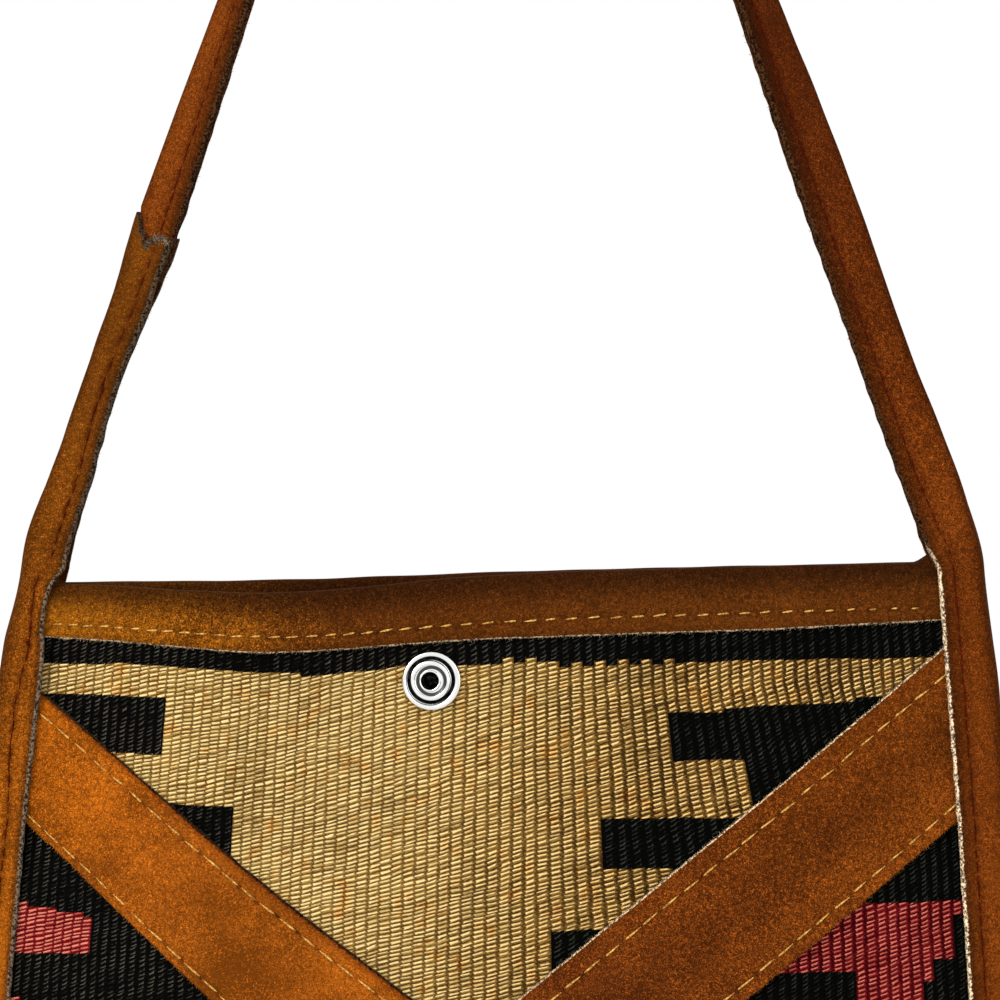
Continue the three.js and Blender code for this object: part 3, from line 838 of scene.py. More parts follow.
@dataclass(frozen=True)
class PouchShape:
    """Shape of the two walls of the pouch, from the same sizes as its solid."""

    left_mouth_drop: float = 310.1 * MM
    right_mouth_drop: float = 305.0 * MM
    height: float = 225.0 * MM
    mouth_left: float = 109.5 * MM
    mouth_right: float = 112.8 * MM
    bottom_half: float = 125.0 * MM
    seam_tuck: float = 6.0 * MM
    mouth_gap: float = 6.0 * MM
    bottom_gap: float = 1.6 * MM
    bulge: float = 4.6 * MM
    mouth_seam_gap: float = 1.6 * MM
    seam_gap: float = 0.3 * MM
    side_ease: float = 55.0 * MM
    snap_x: float = -14.5 * MM
    snap_drop: float = 24.4 * MM
    snap_gap: float = 2.55 * MM
    snap_flat: float = 9.1 * MM
    snap_ease: float = 45.0 * MM
    swell_gap: float = 2.0 * MM
    swell_drop: float = 60.0 * MM
    slack_centre: float = -52.0 * MM
    slack_reach: float = 40.0 * MM
    front_sag: float = 3.8 * MM
    back_sag: float = 0.8 * MM
    cloth: float = 1.5 * MM
    rib_height: float = 0.45 * MM
    under_binding: float = 15.3 * MM
    under_snap: float = 33.5 * MM
    low_rows: int = 4

    @property
    def bottom(self) -> float:
        """Height of the fold at the foot of the pouch."""
        return -(self.left_mouth_drop + self.right_mouth_drop) / 2.0 - self.height

    @property
    def rows(self) -> Array:
        """Drops between which the walls run straight."""
        low = np.linspace(self.under_snap, self.height, self.low_rows + 1)
        return np.concatenate(([0.0, self.under_binding], low))

    @property
    def snap_height(self) -> float:
        """Height of the snap's axis."""
        return float(self.wall_height(Side.FRONT, self.snap_x, self.snap_drop))

    def mouth_line(self, x: Reals) -> Reals:
        """Height of the level mouth at a place across the bag."""
        share = (x + self.mouth_left) / (self.mouth_left + self.mouth_right)
        return mix(-self.left_mouth_drop, -self.right_mouth_drop, share)

    def wall_height(self, side: Side, x: Reals, drop: Reals) -> Reals:
        """Height of a wall at a drop, with the slack of its mouth."""
        sag = self.front_sag if side is Side.FRONT else self.back_sag
        top = self.mouth_line(x) - sag * bell(x - self.slack_centre, self.slack_reach)
        return mix(top, self.bottom, drop / self.height)

    def raw_edge(self, end: End, drop: Reals) -> Reals:
        """Inner edge of a side binding."""
        mouth = self.mouth_left if end is End.LEFT else self.mouth_right
        flare = np.sin(np.clip(drop / self.height, 0.0, 1.0) * math.pi / 2.0)
        return end * mix(mouth, self.bottom_half, flare)

    def panel_edge(self, end: End, drop: Reals) -> Reals:
        """Edge of the kilim, tucked into a side binding."""
        return self.raw_edge(end, drop) + end * self.seam_tuck

    def outer(self, side: Side, x: Array, drop: Reals) -> Array:
        """Distance of the tops of the ribs from the middle plane."""
        return self.gap(side, x, drop) + self.cloth + self.rib_height

    def gap_at_row(self, side: Side, x: Array, drop: float) -> Array:
        """Half the room between the walls at one of the rows.

        Args:
            side: Wall.
            x: Places across the bag.
            drop: Drop of the row.

        Returns:
            The gaps.
        """
        down = drop / self.height
        middle = mix(self.mouth_gap, self.bottom_gap, down) + self.bulge * 4.0 * down * (1.0 - down)
        seam = self.mouth_seam_gap if drop <= self.under_binding + 1e-9 else self.seam_gap
        inset = np.minimum(x - self.panel_edge(End.LEFT, drop), self.panel_edge(End.RIGHT, drop) - x)
        gap = mix(seam, middle, smoothstep(inset, 0.0, self.side_ease))
        if side is Side.FRONT:
            slack = bell(x - self.slack_centre, self.slack_reach)
            gap = gap + self.swell_gap * slack * (1.0 - smoothstep(drop, 0.0, self.swell_drop))
        from_snap = np.hypot(x - self.snap_x, drop - self.snap_drop)
        eased = smoothstep(from_snap, self.snap_flat, self.snap_flat + self.snap_ease)
        return mix(self.snap_gap, gap, eased)

    def gap(self, side: Side, x: Array, drop: Reals) -> Array:
        """Half the room between the walls anywhere: they run straight from row to row.

        Args:
            side: Wall.
            x: Places across the bag.
            drop: Their drops.

        Returns:
            The gaps.
        """
        x, drop = np.broadcast_arrays(np.asarray(x, dtype=float), np.asarray(drop, dtype=float))
        weights = [np.interp(drop, self.rows, own) for own in np.eye(len(self.rows))]
        return sum(weight * self.gap_at_row(side, x, row) for weight, row in zip(weights, self.rows))


@dataclass(frozen=True)
class Block:
    """Field of one yarn in the kilim, between two places across and two drops."""

    yarn: Yarn
    left: float
    right: float
    top: float
    bottom: float
    tilt: float = 0.0

    def holds(self, x: Array, drop: Array) -> Array:
        """Say which places are in the field."""
        lean = self.tilt * (x - self.left)
        return (x >= self.left) & (x <= self.right) & (drop >= self.top + lean) & (drop <= self.bottom)


@dataclass(frozen=True)
class KilimFigures:
    """Stepped figures of the kilim: bars that stand out from the sides into a tan field."""

    far: float = 140.0 * MM
    v_x: float = -5.5 * MM
    v_drop: float = 139.0 * MM
    v_left_slope: float = 0.87
    v_right_slope: float = 0.82
    band_places: Numbers = mm(-60.0, -40.0, 0.0, 46.0, 110.0)
    band_drops: Numbers = mm(18.4, 19.9, 21.0, 22.7, 22.2)
    teeth: Pair = mm(3.0, 47.0)
    tooth: float = 1.1 * MM
    back_band: float = 21.0 * MM
    back_foot: float = 165.0 * MM

    def blocks(self) -> list[Block]:
        """Fields on the front, later ones over earlier ones.

        Returns:
            The fields.
        """
        black, tan, red, far = Yarn.BLACK, Yarn.TAN, Yarn.RED, self.far
        return [
            Block(black, -far, *mm(-82.3, 26.9, 41.4)),
            Block(black, -far, *mm(-65.0, 53.5, 66.0)),
            Block(black, 43.0 * MM, far, *mm(34.3, 47.0), tilt=-0.034),
            Block(black, 60.6 * MM, far, *mm(46.0, 61.5)),
            Block(black, 27.6 * MM, far, *mm(61.0, 73.2)),
            Block(black, 14.4 * MM, far, *mm(89.1, 99.8)),
            Block(tan, *mm(40.0, 45.2, 42.5, 47.5)),
            Block(red, -far, *mm(-101.0, 76.8, 93.5), tilt=0.15),
            Block(red, -far, *mm(-119.0, 104.0, 117.0)),
            Block(red, *mm(72.0, 118.6, 83.0, 97.2)),
            Block(red, *mm(72.0, 92.7, 83.0, 100.1)),
            Block(red, *mm(92.7, 111.0, 83.0, 125.0)),
        ]

    def front(self, x: Array, drop: Array, odd: Array) -> Array:
        """Yarn of each place on the front.

        Args:
            x: Places across the bag.
            drop: Their drops.
            odd: Whether they lie on every other rib, where the tan field reaches up into the band.

        Returns:
            The yarns as numbers.
        """
        slope = np.where(x < self.v_x, self.v_left_slope, self.v_right_slope)
        under_v = drop > self.v_drop - slope * np.abs(x - self.v_x)
        yarn = np.where(under_v, Yarn.BLACK, Yarn.TAN)
        for block in self.blocks():
            yarn = np.where(block.holds(x, drop), block.yarn, yarn)
        toothed = odd & (x > self.teeth[0]) & (x < self.teeth[1])
        band = np.interp(x, self.band_places, self.band_drops) - self.tooth * toothed
        return np.where(drop < band, Yarn.BLACK, yarn)

    def back(self, drop: Array) -> Array:
        """Yarn of each place on the plain back."""
        dark = (drop < self.back_band) | (drop > self.back_foot)
        return np.where(dark, Yarn.BLACK, Yarn.TAN)


@dataclass
class Woven:
    """One face of the cloth: its places, and for its quads the weave coordinates, floats and yarns."""

    places: Array
    coords: Array
    marks: dict[str, Array]


@dataclass
class Kilim:
    """The ribbed kilim: one cloth, folded at its foot, woven float by float on the front."""

    pouch: PouchShape
    figures: KilimFigures = field(default_factory=KilimFigures)
    ribs: int = 90
    front_floats: int = 203
    fold_floats: int = 6
    back_rows: int = 90
    rib_places: Numbers = (0.0, 0.25, 0.34, 0.42, 0.5, 0.62, 0.74, 1.0)
    rib_pitches: Numbers = (9.0, 9.1, 10.0, 10.9, 11.5, 11.4, 10.7, 10.6)
    inner_columns: int = 42
    inner_rows: int = 24
    inner_fold_rows: int = 3
    flat_size: Pair = (0.262, 0.456)
    float_heights: Pair = (0.82, 1.12)
    between_floats: float = 0.35
    back_rib: float = 0.8
    wander: float = 0.45 * MM
    fine_wander: float = 0.16 * MM
    side_wander: float = 0.315 * MM
    wander_lengths: Numbers = mm(28.0, 24.0, 7.0)
    calm_ends: float = 20.0 * MM
    calm_sides: float = 15.0 * MM
    skew: float = 0.16
    skew_drop: float = 28.0 * MM
    skew_start: Pair = mm(5.0, 75.0)
    skew_end: Pair = mm(85.0, 118.0)
    chevron_start: Pair = mm(-5.5, 115.7)
    chevron_slope: float = 0.807
    chevron_cover: float = 38.0 * MM
    barrel_hole: float = 2.9 * MM
    post_hole: float = 2.2 * MM
    punch_sides: int = 32
    punch_start: float = 0.5 * MM
    seed: int = 7

    @property
    def all_floats(self) -> int:
        """Floats along a rib, from the front's mouth round the fold to the back's."""
        return 2 * self.front_floats + self.fold_floats

    def build(self) -> Object:
        """Weave the cloth and cut its two snap holes.

        Returns:
            The finished piece.
        """
        woven = [self._outer(), self._inner()]
        points = np.concatenate([face.places.reshape(-1, 3) for face in woven])
        ids = np.split(np.arange(len(points)), [woven[0].places[..., 0].size])
        grids = [row.reshape(face.places.shape[:2]) for row, face in zip(ids, woven)]
        rims = [(grid[0], grid[-1], grid[:, 0], grid[:, -1]) for grid in grids]
        edges = [triangle for one, other in zip(*rims) for triangle in zip_rows(one, other)]
        quads = np.concatenate([quad_corners(grid).reshape(-1, 4) for grid in grids])
        obj = place_mesh("kilim_cloth", points.tolist(), quads.tolist() + edges)
        coords = np.zeros((len(obj.data.loops), 2), dtype=np.float32)
        coords[:quads.size] = np.concatenate([face.coords.reshape(-1, 2) for face in woven])
        obj.data.uv_layers.new(name="weave").data.foreach_set("uv", coords.ravel())
        for mark in woven[0].marks:
            values = [face.marks[mark].ravel() for face in woven] + [np.full(len(edges), float(Yarn.BLACK))]
            set_attribute(obj.data, mark, np.concatenate(values), "FACE")
        face_outwards(obj)
        self._cut_hole(obj, Side.FRONT, self.barrel_hole)
        self._cut_hole(obj, Side.BACK, self.post_hole)
        return smooth(obj)

    def dress(self, obj: Object) -> None:
        """Give the cloth its weave and hide the solid that it replaces."""
        finish = WeaveFinish("kilim_weave", self.ribs, self.all_floats)
        finish_piece(obj, finish.material(), ["kilim_body"])

    def _outer(self) -> Woven:
        """Weave the outer face, with its floats and ribs.

        Returns:
            The face.
        """
        shape = self.pouch
        rng = np.random.default_rng(self.seed)
        columns = np.arange(2 * self.ribs + 1)
        share = self._shares()
        rows: list[Array] = []
        for drop in np.linspace(0.0, shape.height, 2 * self.front_floats + 1):
            lift = self._lift(rng, columns, len(rows))
            x, drops = self._wander(self._across(share, drop), drop)
            rows.append(self._wall(Side.FRONT, x + self._skewed(x, drops), drops, shape.cloth + lift))
        for angle in np.linspace(0.0, math.pi, 2 * self.fold_floats + 1)[1:-1]:
            lift = self._lift(rng, columns, len(rows))
            rows.append(self._fold(share, angle, shape.cloth + lift))
        ribbed = shape.cloth + self.back_rib * shape.rib_height * (columns % 2)
        for drop in np.linspace(shape.height, 0.0, self.back_rows + 1):
            rows.append(self._wall(Side.BACK, *self._wander(self._across(share, drop), drop), ribbed))
        on_front = self.front_floats + self.fold_floats
        on_back = np.arange(self.back_rows + 1) * self.front_floats / self.back_rows
        down = np.concatenate((np.arange(2 * on_front) / 2.0, on_front + on_back))
        return self._woven(rows, columns / (2.0 * self.ribs), down, self._marks(down))

    def _inner(self) -> Woven:
        """Weave the inner face, in larger steps.

        Returns:
            The face.
        """
        shape = self.pouch
        share = np.linspace(0.0, 1.0, self.inner_columns + 1)
        drops = np.linspace(0.0, shape.height, self.inner_rows + 1)
        turns = np.linspace(0.0, 1.0, self.inner_fold_rows + 2)[1:-1]
        rows = [self._wall(Side.FRONT, self._across(share, drop), drop, 0.0) for drop in drops]
        rows += [self._fold(share, math.pi * turn, 0.0) for turn in turns]
        rows += [self._wall(Side.BACK, self._across(share, drop), drop, 0.0) for drop in drops[::-1]]
        front = drops / shape.height * self.front_floats
        fold = self.front_floats + turns * self.fold_floats
        down = np.concatenate((front, fold, self.all_floats - front[::-1]))
        middle = (down[:-1] + down[1:]) / 2.0
        drop = np.minimum(middle, self.all_floats - middle) * shape.height / self.front_floats
        yarn = np.repeat(self.figures.back(drop)[:, None], self.inner_columns, axis=1)
        marks = {"pick": np.zeros_like(yarn), "yarn": yarn, "yarn_up": yarn, "yarn_down": yarn}
        return self._woven(rows, share, down, marks)

    def _woven(self, rows: list[Array], across: Array, down: Array, marks: dict[str, Array]) -> Woven:
        """Join the rows of a face, with the weave coordinates of their columns and rows."""
        places = np.stack(rows)
        u = quad_corners(np.broadcast_to(across, places.shape[:2]))
        v = quad_corners(np.broadcast_to(down[:, None] / self.all_floats, places.shape[:2]))
        return Woven(places, np.stack((u, v), axis=3), marks)

    def _wall(self, side: Side, x: Array, drop: Reals, lift: Reals) -> Array:
        """Row of places on a wall, lifted off the room inside the pouch."""
        y = side * (self.pouch.gap(side, x, drop) + lift)
        return np.stack((x, y, self.pouch.wall_height(side, x, drop)), axis=1)

    def _fold(self, share: Array, angle: float, lift: Reals) -> Array:
        """Row of places on the fold at the foot, at an angle from the front round to the back."""
        x = self._across(share, self.pouch.height)
        radius = self.pouch.gap(Side.FRONT, x, self.pouch.height) + lift
        return np.stack((x, -radius * math.cos(angle), self.pouch.bottom - radius * math.sin(angle)), axis=1)

    def _marks(self, down: Array) -> dict[str, Array]:
        """Float and yarns of each quad of the outer face.

        Args:
            down: Floats down to each row.

        Returns:
            How far down its float lies, and the yarns of that float and of those above and below.
        """
        per_float = self.pouch.height / self.front_floats
        rib = np.arange(2 * self.ribs) // 2
        first = np.round(2.0 * down[:-1]).astype(int)[:, None]
        centre = first + ((first + rib) % 2 == 0)
        share = self._shares()[2 * rib + 1]
        on_front = first < 2 * self.front_floats + self.fold_floats
        found = {"pick": centre / 2.0}
        for name, away in (("yarn", 0), ("yarn_up", -2), ("yarn_down", 2)):
            drop = np.where(on_front, centre + away - rib % 2, first) * per_float / 2.0
            x = self._across(share, drop)
            front = self.figures.front(x, drop, np.broadcast_to(rib % 2 == 0, x.shape))
            back = self.figures.back(self.all_floats * per_float - drop)
            found[name] = np.where(on_front, front, back)
        return found

    def _shares(self) -> Array:
        """Shares across the cloth of the valleys and crests of its ribs, which are wider in the middle."""
        halves = (np.arange(2 * self.ribs) + 0.5) / (2.0 * self.ribs)
        run = np.cumsum(np.interp(halves, self.rib_places, self.rib_pitches))
        return np.concatenate(([0.0], run / run[-1]))

    def _across(self, share: Array, drop: Reals) -> Array:
        """Places across the cloth at a drop."""
        return mix(self.pouch.panel_edge(End.LEFT, drop), self.pouch.panel_edge(End.RIGHT, drop), share)

    def _lift(self, rng: np.random.Generator, columns: Array, row: int) -> Array:
        """Height of the floats of one row over the valleys between the ribs."""
        on_float = (columns // 2 + row) % 2 == 1
        height = np.where(on_float, rng.uniform(*self.float_heights, columns.size), self.between_floats)
        return height * self.pouch.rib_height * (columns % 2)

    def _wander(self, x: Array, drop: float) -> tuple[Array, Array]:
        """Let the ribs and rows run a little unevenly, less towards the edges of the cloth.

        Args:
            x: Places across the cloth.
            drop: Their drop.

        Returns:
            The moved places and drops.
        """
        points = np.stack((x, np.zeros_like(x), np.full_like(x, drop)), axis=1)
        calm = smoothstep(min(drop, self.pouch.height - drop), 0.0, self.calm_ends)
        calm = calm * smoothstep(np.minimum(x - x[0], x[-1] - x), 0.0, self.calm_sides)
        side_length, along_length, fine_length = self.wander_lengths
        side = self.side_wander * waves(points * (1.0, 1.0, 0.5), side_length, self.seed + 1)
        along = self.wander * waves(points, along_length, self.seed + 2)
        along = along + self.fine_wander * waves(points, fine_length, self.seed + 3)
        return x + side * calm, drop + along * calm

    def _skewed(self, x: Array, drop: Array) -> Array:
        """Lean of the ribs on the right, which is straightened out again under the suede V."""
        start = self.chevron_start
        edge = start[1] - self.chevron_slope * (x - start[0])
        fallen = np.maximum(0.0, np.minimum(drop, edge) - self.skew_drop)
        share = smoothstep(x, *self.skew_start) * (1.0 - smoothstep(x, *self.skew_end))
        return self.skew * fallen * share * (1.0 - smoothstep(drop - edge, 0.0, self.chevron_cover))

    def _cut_hole(self, obj: Object, side: Side, radius: float) -> None:
        """Punch the hole of a snap half through one wall.

        Args:
            obj: The cloth.
            side: The wall.
            radius: Radius of the hole.
        """
        shape = self.pouch
        depth = 4.0 * (shape.snap_gap + shape.cloth)
        place = (shape.snap_x, side * (depth / 2.0 + self.punch_start), shape.snap_height)
        punch = added(bpy.ops.mesh.primitive_cylinder_add, vertices=self.punch_sides, radius=radius,
                      depth=depth, location=place, rotation=(math.pi / 2.0, 0.0, 0.0))
        bpy.ops.object.transform_apply(location=True, rotation=True, scale=True)
        apply_modifier(obj, "BOOLEAN", operation="DIFFERENCE", object=punch, solver="MANIFOLD")
        bpy.data.objects.remove(punch)


@dataclass
class SewnLine:
    """Cut edge on one face of a strip, and the seam beside it, station by station."""

    edge: Array
    seam: Array
    outward: Array

    def __post_init__(self) -> None:
        """Measure the seam."""
        steps = np.linalg.norm(np.diff(self.seam, axis=0), axis=1)
        self.run = np.concatenate(([0.0], np.cumsum(steps)))
        self.along = np.gradient(self.seam, axis=0)

    @property
    def length(self) -> float:
        """Length of the seam."""
        return float(self.run[-1])

    def at(self, distance: float) -> tuple[Vector, Vector, Vector, Vector]:
        """Find a place along the seam.

        Args:
            distance: Length from its start.

        Returns:
            The places on the cut edge and the seam, the way along it and the way out of the face.
        """
        found = []
        for rows in (self.edge, self.seam, self.along, self.outward):
            found.append(Vector([float(np.interp(distance, self.run, rows[:, i])) for i in range(3)]))
        return found[0], found[1], found[2].normalized(), found[3].normalized()


@dataclass(frozen=True)
class StitchPlace:
    """Where one stitch lies: its middle, the way along it and out of the suede, its length and girth."""

    point: Vector
    along: Vector
    outward: Vector
    length: float
    girth: float = 1.0


@dataclass
class SuedeStrip:
    """A strip of suede lofted through rings of points, with its cut edges, seams and nap."""

    name: str
    node: str
    slot: str
    finish: SuedeFinish
    held: Held
    rings: Array
    outside: int
    cut: Array
    shade: Array
    keys: Array | None = None
    unevenness: float = 0.12 * MM
    uneven_length: float = 15.0 * MM
    ragged: float = 0.16 * MM
    ragged_length: float = 4.0 * MM
    ragged_seed: int = 40
    crisp: float = math.radians(70.0)
    seed: int = 1

    def build(self) -> Object:
        """Loft the strip and give its skin a soft unevenness.

        Returns:
            The piece, not yet sewn.
        """
        stations, count = self.rings.shape[:2]
        ids = np.arange(stations * count).reshape(stations, count)
        nxt = np.roll(ids, -1, axis=1)
        quads = np.stack((ids[:-1], nxt[:-1], nxt[1:], ids[1:]), axis=2).reshape(-1, 4)
        faces = quads.tolist()
        keys = () if self.keys is None else (self.keys[:self.outside], self.keys[:self.outside - 1:-1])
        for end in (ids[0], ids[-1]):
            faces += zip_rows(end[:self.outside], end[:self.outside - 1:-1], *keys)
        self.object = place_mesh(self.name, self.rings.reshape(-1, 3).tolist(), faces)
        face_outwards(self.object)
        mesh = self.object.data
        points = vertex_array(mesh)
        normals = vertex_array(mesh, "normal")
        cut = np.broadcast_to(self.cut, (stations, count)).ravel()
        swell = self.unevenness * waves(points, self.uneven_length, self.seed) * (1.0 - cut)
        swell = swell + self.ragged * waves(points, self.ragged_length, self.seed + self.ragged_seed) * cut
        set_vertices(mesh, points + normals * swell[:, None])
        set_attribute(mesh, "cut", cut)
        set_attribute(mesh, "shade", np.broadcast_to(self.shade, (stations, count)).ravel())
        set_attribute(mesh, "seam_shade", np.zeros(len(points)))
        pick(self.object)
        bpy.ops.object.shade_smooth_by_angle(angle=self.crisp)
        return self.object

    def dress(self, flat: Pair) -> None:
        """Give the strip its suede and hide the solid that it replaces.

        Args:
            flat: Width and length of the strip before it was folded and sewn; not used.
        """
        finish_piece(self.object, self.finish.material(), [self.node])

    def sew(self, seam: "Seam", lines: Sequence[SewnLine], thread: Material,
            knots: Sequence[StitchPlace] = ()) -> None:
        """Sew a seam on the strip, press it in and paint shade into its needle holes and along its crease.

        Args:
            seam: The row of stitches.
            lines: Lines that it runs along.
            thread: Material of the thread.
            knots: Places of knots beside the row.
        """
        places = [place for line in lines for place in seam.places(line)] + list(knots)
        mesh = self.object.data
        points = vertex_array(mesh)
        normals = vertex_array(mesh, "normal")
        holes = [place.point + place.along * (place.length * way) for place in places for way in (-0.5, 0.5)]
        from_seam = self._distances(points, holes + [place.point for place in places])
        from_hole = self._distances(points, holes)
        at_seam, at_hole = bell(from_seam, seam.pull_reach), bell(from_hole, seam.hole)
        pull = seam.pull * (at_seam + seam.hole_pull * at_hole)
        set_vertices(mesh, points - normals * pull[:, None])
        seam_shade = np.empty(len(points), dtype=np.float32)
        mesh.attributes["seam_shade"].data.foreach_get("value", seam_shade)
        # Painted shade, deepest at the needle holes and along the pressed crease.
        dark = np.maximum(seam.hole_shade * at_hole, seam.crease_shade * at_seam)
        set_attribute(mesh, "seam_shade", np.maximum(seam_shade, dark))
        finish_piece(seam.sew(places), thread)

    def front_point(self, x: float, z: float) -> Vector:
        """Find the place on the front of the strip at a place across and a height."""
        points = vertex_array(self.object.data)
        points = points[vertex_array(self.object.data, "normal")[:, 1] < -0.5]
        nearest = np.argmin(np.hypot(points[:, 0] - x, points[:, 2] - z))
        return Vector((x, points[nearest, 1], z))

    @staticmethod
    def _distances(points: Array, targets: Sequence[Vector]) -> Array:
        """Distance of each point from the nearest target."""
        tree = KDTree(len(targets))
        for index, target in enumerate(targets):
            tree.insert(target, index)
        tree.balance()
        return np.array([tree.find(point)[2] for point in points])


@dataclass(frozen=True)
class Section:
    """Section of a folded strip: its width, its fold, and half the room between its layers.

    The rooms are given at three places: the cut edges, the middle and the start of the fold. The put
    function turns distances from the cut edges and heights over the middle layer into points.
    """

    width: float
    fold: float
    places: Array
    front: Array
    back: Array
    puff: float
    put: Callable[[Array, Array], Array]


@dataclass(frozen=True)
class Leg:
    """Middle line of one leg of the strap, in X and Z, from the mouth corner to the bend over the peg."""

    corner: Array
    centre: Array
    normal: Array
    top: Array
    length: float

    @property
    def up(self) -> Array:
        """The way up the leg."""
        return np.array([self.top[0] - self.corner[0], 0.0, self.top[1] - self.corner[1]]) / self.length


@dataclass(frozen=True)
class FoldProfile:
    """Points of a folded strip's section: round its outside, then back along its inside."""

    thickness: float
    skive: float
    inset: float
    face_steps: int = 12
    fold_steps: int = 9
    inner_steps: int = 7
    frayed: Pair = (0.5, 0.0)
    flat_share: float = 0.8
    edge_place: float = 0.2
    edge_height: float = 0.4

    def ring(self, section: Section) -> Array:
        """Points of one section, followed by three points for each of its two sewn lines.

        Args:
            section: The section.

        Returns:
            The points, one row each.
        """
        start = section.width - section.fold
        face = np.linspace(self.skive, start, self.face_steps)
        inner = np.linspace(self.skive * 0.5, start, self.inner_steps)
        high = self._over(section, np.array(start), Side.FRONT)
        low = -self._over(section, np.array(start), Side.BACK)
        middle = (high - low) / 2.0
        angles = np.linspace(0.0, math.pi, self.fold_steps + 1)[1:-1]
        rim_u, rim_v = np.array(CUT_RIM[::-1]).T * ((self.skive,), (1.0,))
        parts = [
            (face, self._over(section, face, Side.FRONT)),
            (start + section.fold * np.sin(angles), middle + (high + low) / 2.0 * np.cos(angles)),
            (face[::-1], self._over(section, face[::-1], Side.BACK)),
            (rim_u, self._rim(section, rim_u, rim_v, Side.BACK)),
            (inner, self._under(section, inner, Side.BACK)),
            (np.array([section.width - self.thickness]), np.array([middle])),
            (inner[::-1], self._under(section, inner[::-1], Side.FRONT)),
            (rim_u[::-1], self._rim(section, rim_u[::-1], rim_v[::-1], Side.FRONT)),
        ]
        for side in (Side.FRONT, Side.BACK):
            seam = self._over(section, np.array(self.inset), side)
            edge = self._over(section, np.array(self.edge_height * self.skive), side)
            heights = np.array([edge, seam, seam - side * MM])
            parts.append((np.array([self.edge_place * self.skive, self.inset, self.inset]), heights))
        return section.put(np.concatenate([u for u, _ in parts]), np.concatenate([v for _, v in parts]))

    def cut(self) -> Array:
        """How much each point of a ring belongs to the cut edges.

        Returns:
            One number for each point.
        """
        mask = np.zeros(self.count)
        back = self.outside
        mask[back:back + len(CUT_RIM)] = 1.0
        mask[-len(CUT_RIM):] = 1.0
        for step, share in enumerate(self.frayed):
            mask[[step, back - 1 - step]] = share
        return mask

    def across(self) -> Array:
        """Share of the width at which each point lies, from the cut edges to the fold."""
        face = np.linspace(0.0, self.flat_share, self.face_steps)
        inner = np.linspace(0.0, self.flat_share, self.inner_steps)
        bend = mix(self.flat_share, 1.0, np.sin(np.linspace(0.0, math.pi, self.fold_steps + 1)[1:-1]))
        rim = np.zeros(len(CUT_RIM))
        return np.concatenate((face, bend, face[::-1], rim, inner, [1.0], inner[::-1], rim))

    def layer(self) -> Array:
        """Layer of each point: 1 in front, -1 behind."""
        signs = np.ones(self.count)
        front = self.face_steps + (self.fold_steps - 1) // 2
        signs[front:self.outside + len(CUT_RIM) + self.inner_steps] = -1.0
        return signs

    def keys(self) -> Array:
        """How far round the strip each point lies: from the front's cut edge over the fold to the back's."""
        across = self.across()
        return np.where(self.layer() > 0, across, 2.0 - across)

    @property
    def outside(self) -> int:
        """Number of points round the outside of a section."""
        return 2 * self.face_steps + self.fold_steps - 1

    @property
    def count(self) -> int:
        """Number of points round a section."""
        return self.outside + 2 * (len(CUT_RIM) + self.inner_steps) + 1

    def _under(self, section: Section, u: Array, side: Side) -> Array:
        """Height of the inside of a layer."""
        rooms = section.front if side is Side.FRONT else section.back
        return -side * np.interp(u, section.places, rooms)

    def _over(self, section: Section, u: Array, side: Side) -> Array:
        """Height of the outside of a layer."""
        start = section.width - section.fold
        swell = section.puff * np.sin(math.pi * np.clip(u / start, 0.0, 1.0))
        return self._under(section, u, side) - side * (self.thickness + swell)

    def _rim(self, section: Section, u: Array, share: Array, side: Side) -> Array:
        """Height on the cut edge of a layer."""
        return self._under(section, u, side) - side * self.thickness * share


@dataclass(frozen=True)
class EdgeWander:
    """How far the cut edge and the seam of a binding stray inwards, by the distance below the peg."""

    end: End
    below: Numbers
    edge: Numbers
    seam: Numbers
    behind: Numbers
    reach: float = 0.5

    def moved(self, rings: Array, profile: FoldProfile) -> Array:
        """Move the rings of a strip, its back layer by an amount of its own.

        Args:
            rings: Places by ring and point, with the columns of the sewn lines last.
            profile: Points of a section.

        Returns:
            The moved places.
        """
        edge, seam, behind = (np.interp(-rings[..., 2], self.below, shifts)
                              for shifts in (self.edge, self.seam, self.behind))
        first = profile.count
        near = 1.0 - smoothstep(profile.across(), 0.0, self.reach)
        shift = np.where(profile.layer() > 0, edge[:, :first], behind[:, :first]) * near
        sewn = seam[:, first + 1:first + 3]
        lines = (edge[:, first:first + 1], sewn, behind[:, first + 3:first + 4], np.zeros_like(sewn))
        moved = rings.copy()
        moved[..., 0] -= self.end * np.concatenate((shift, *lines), axis=1)
        return moved


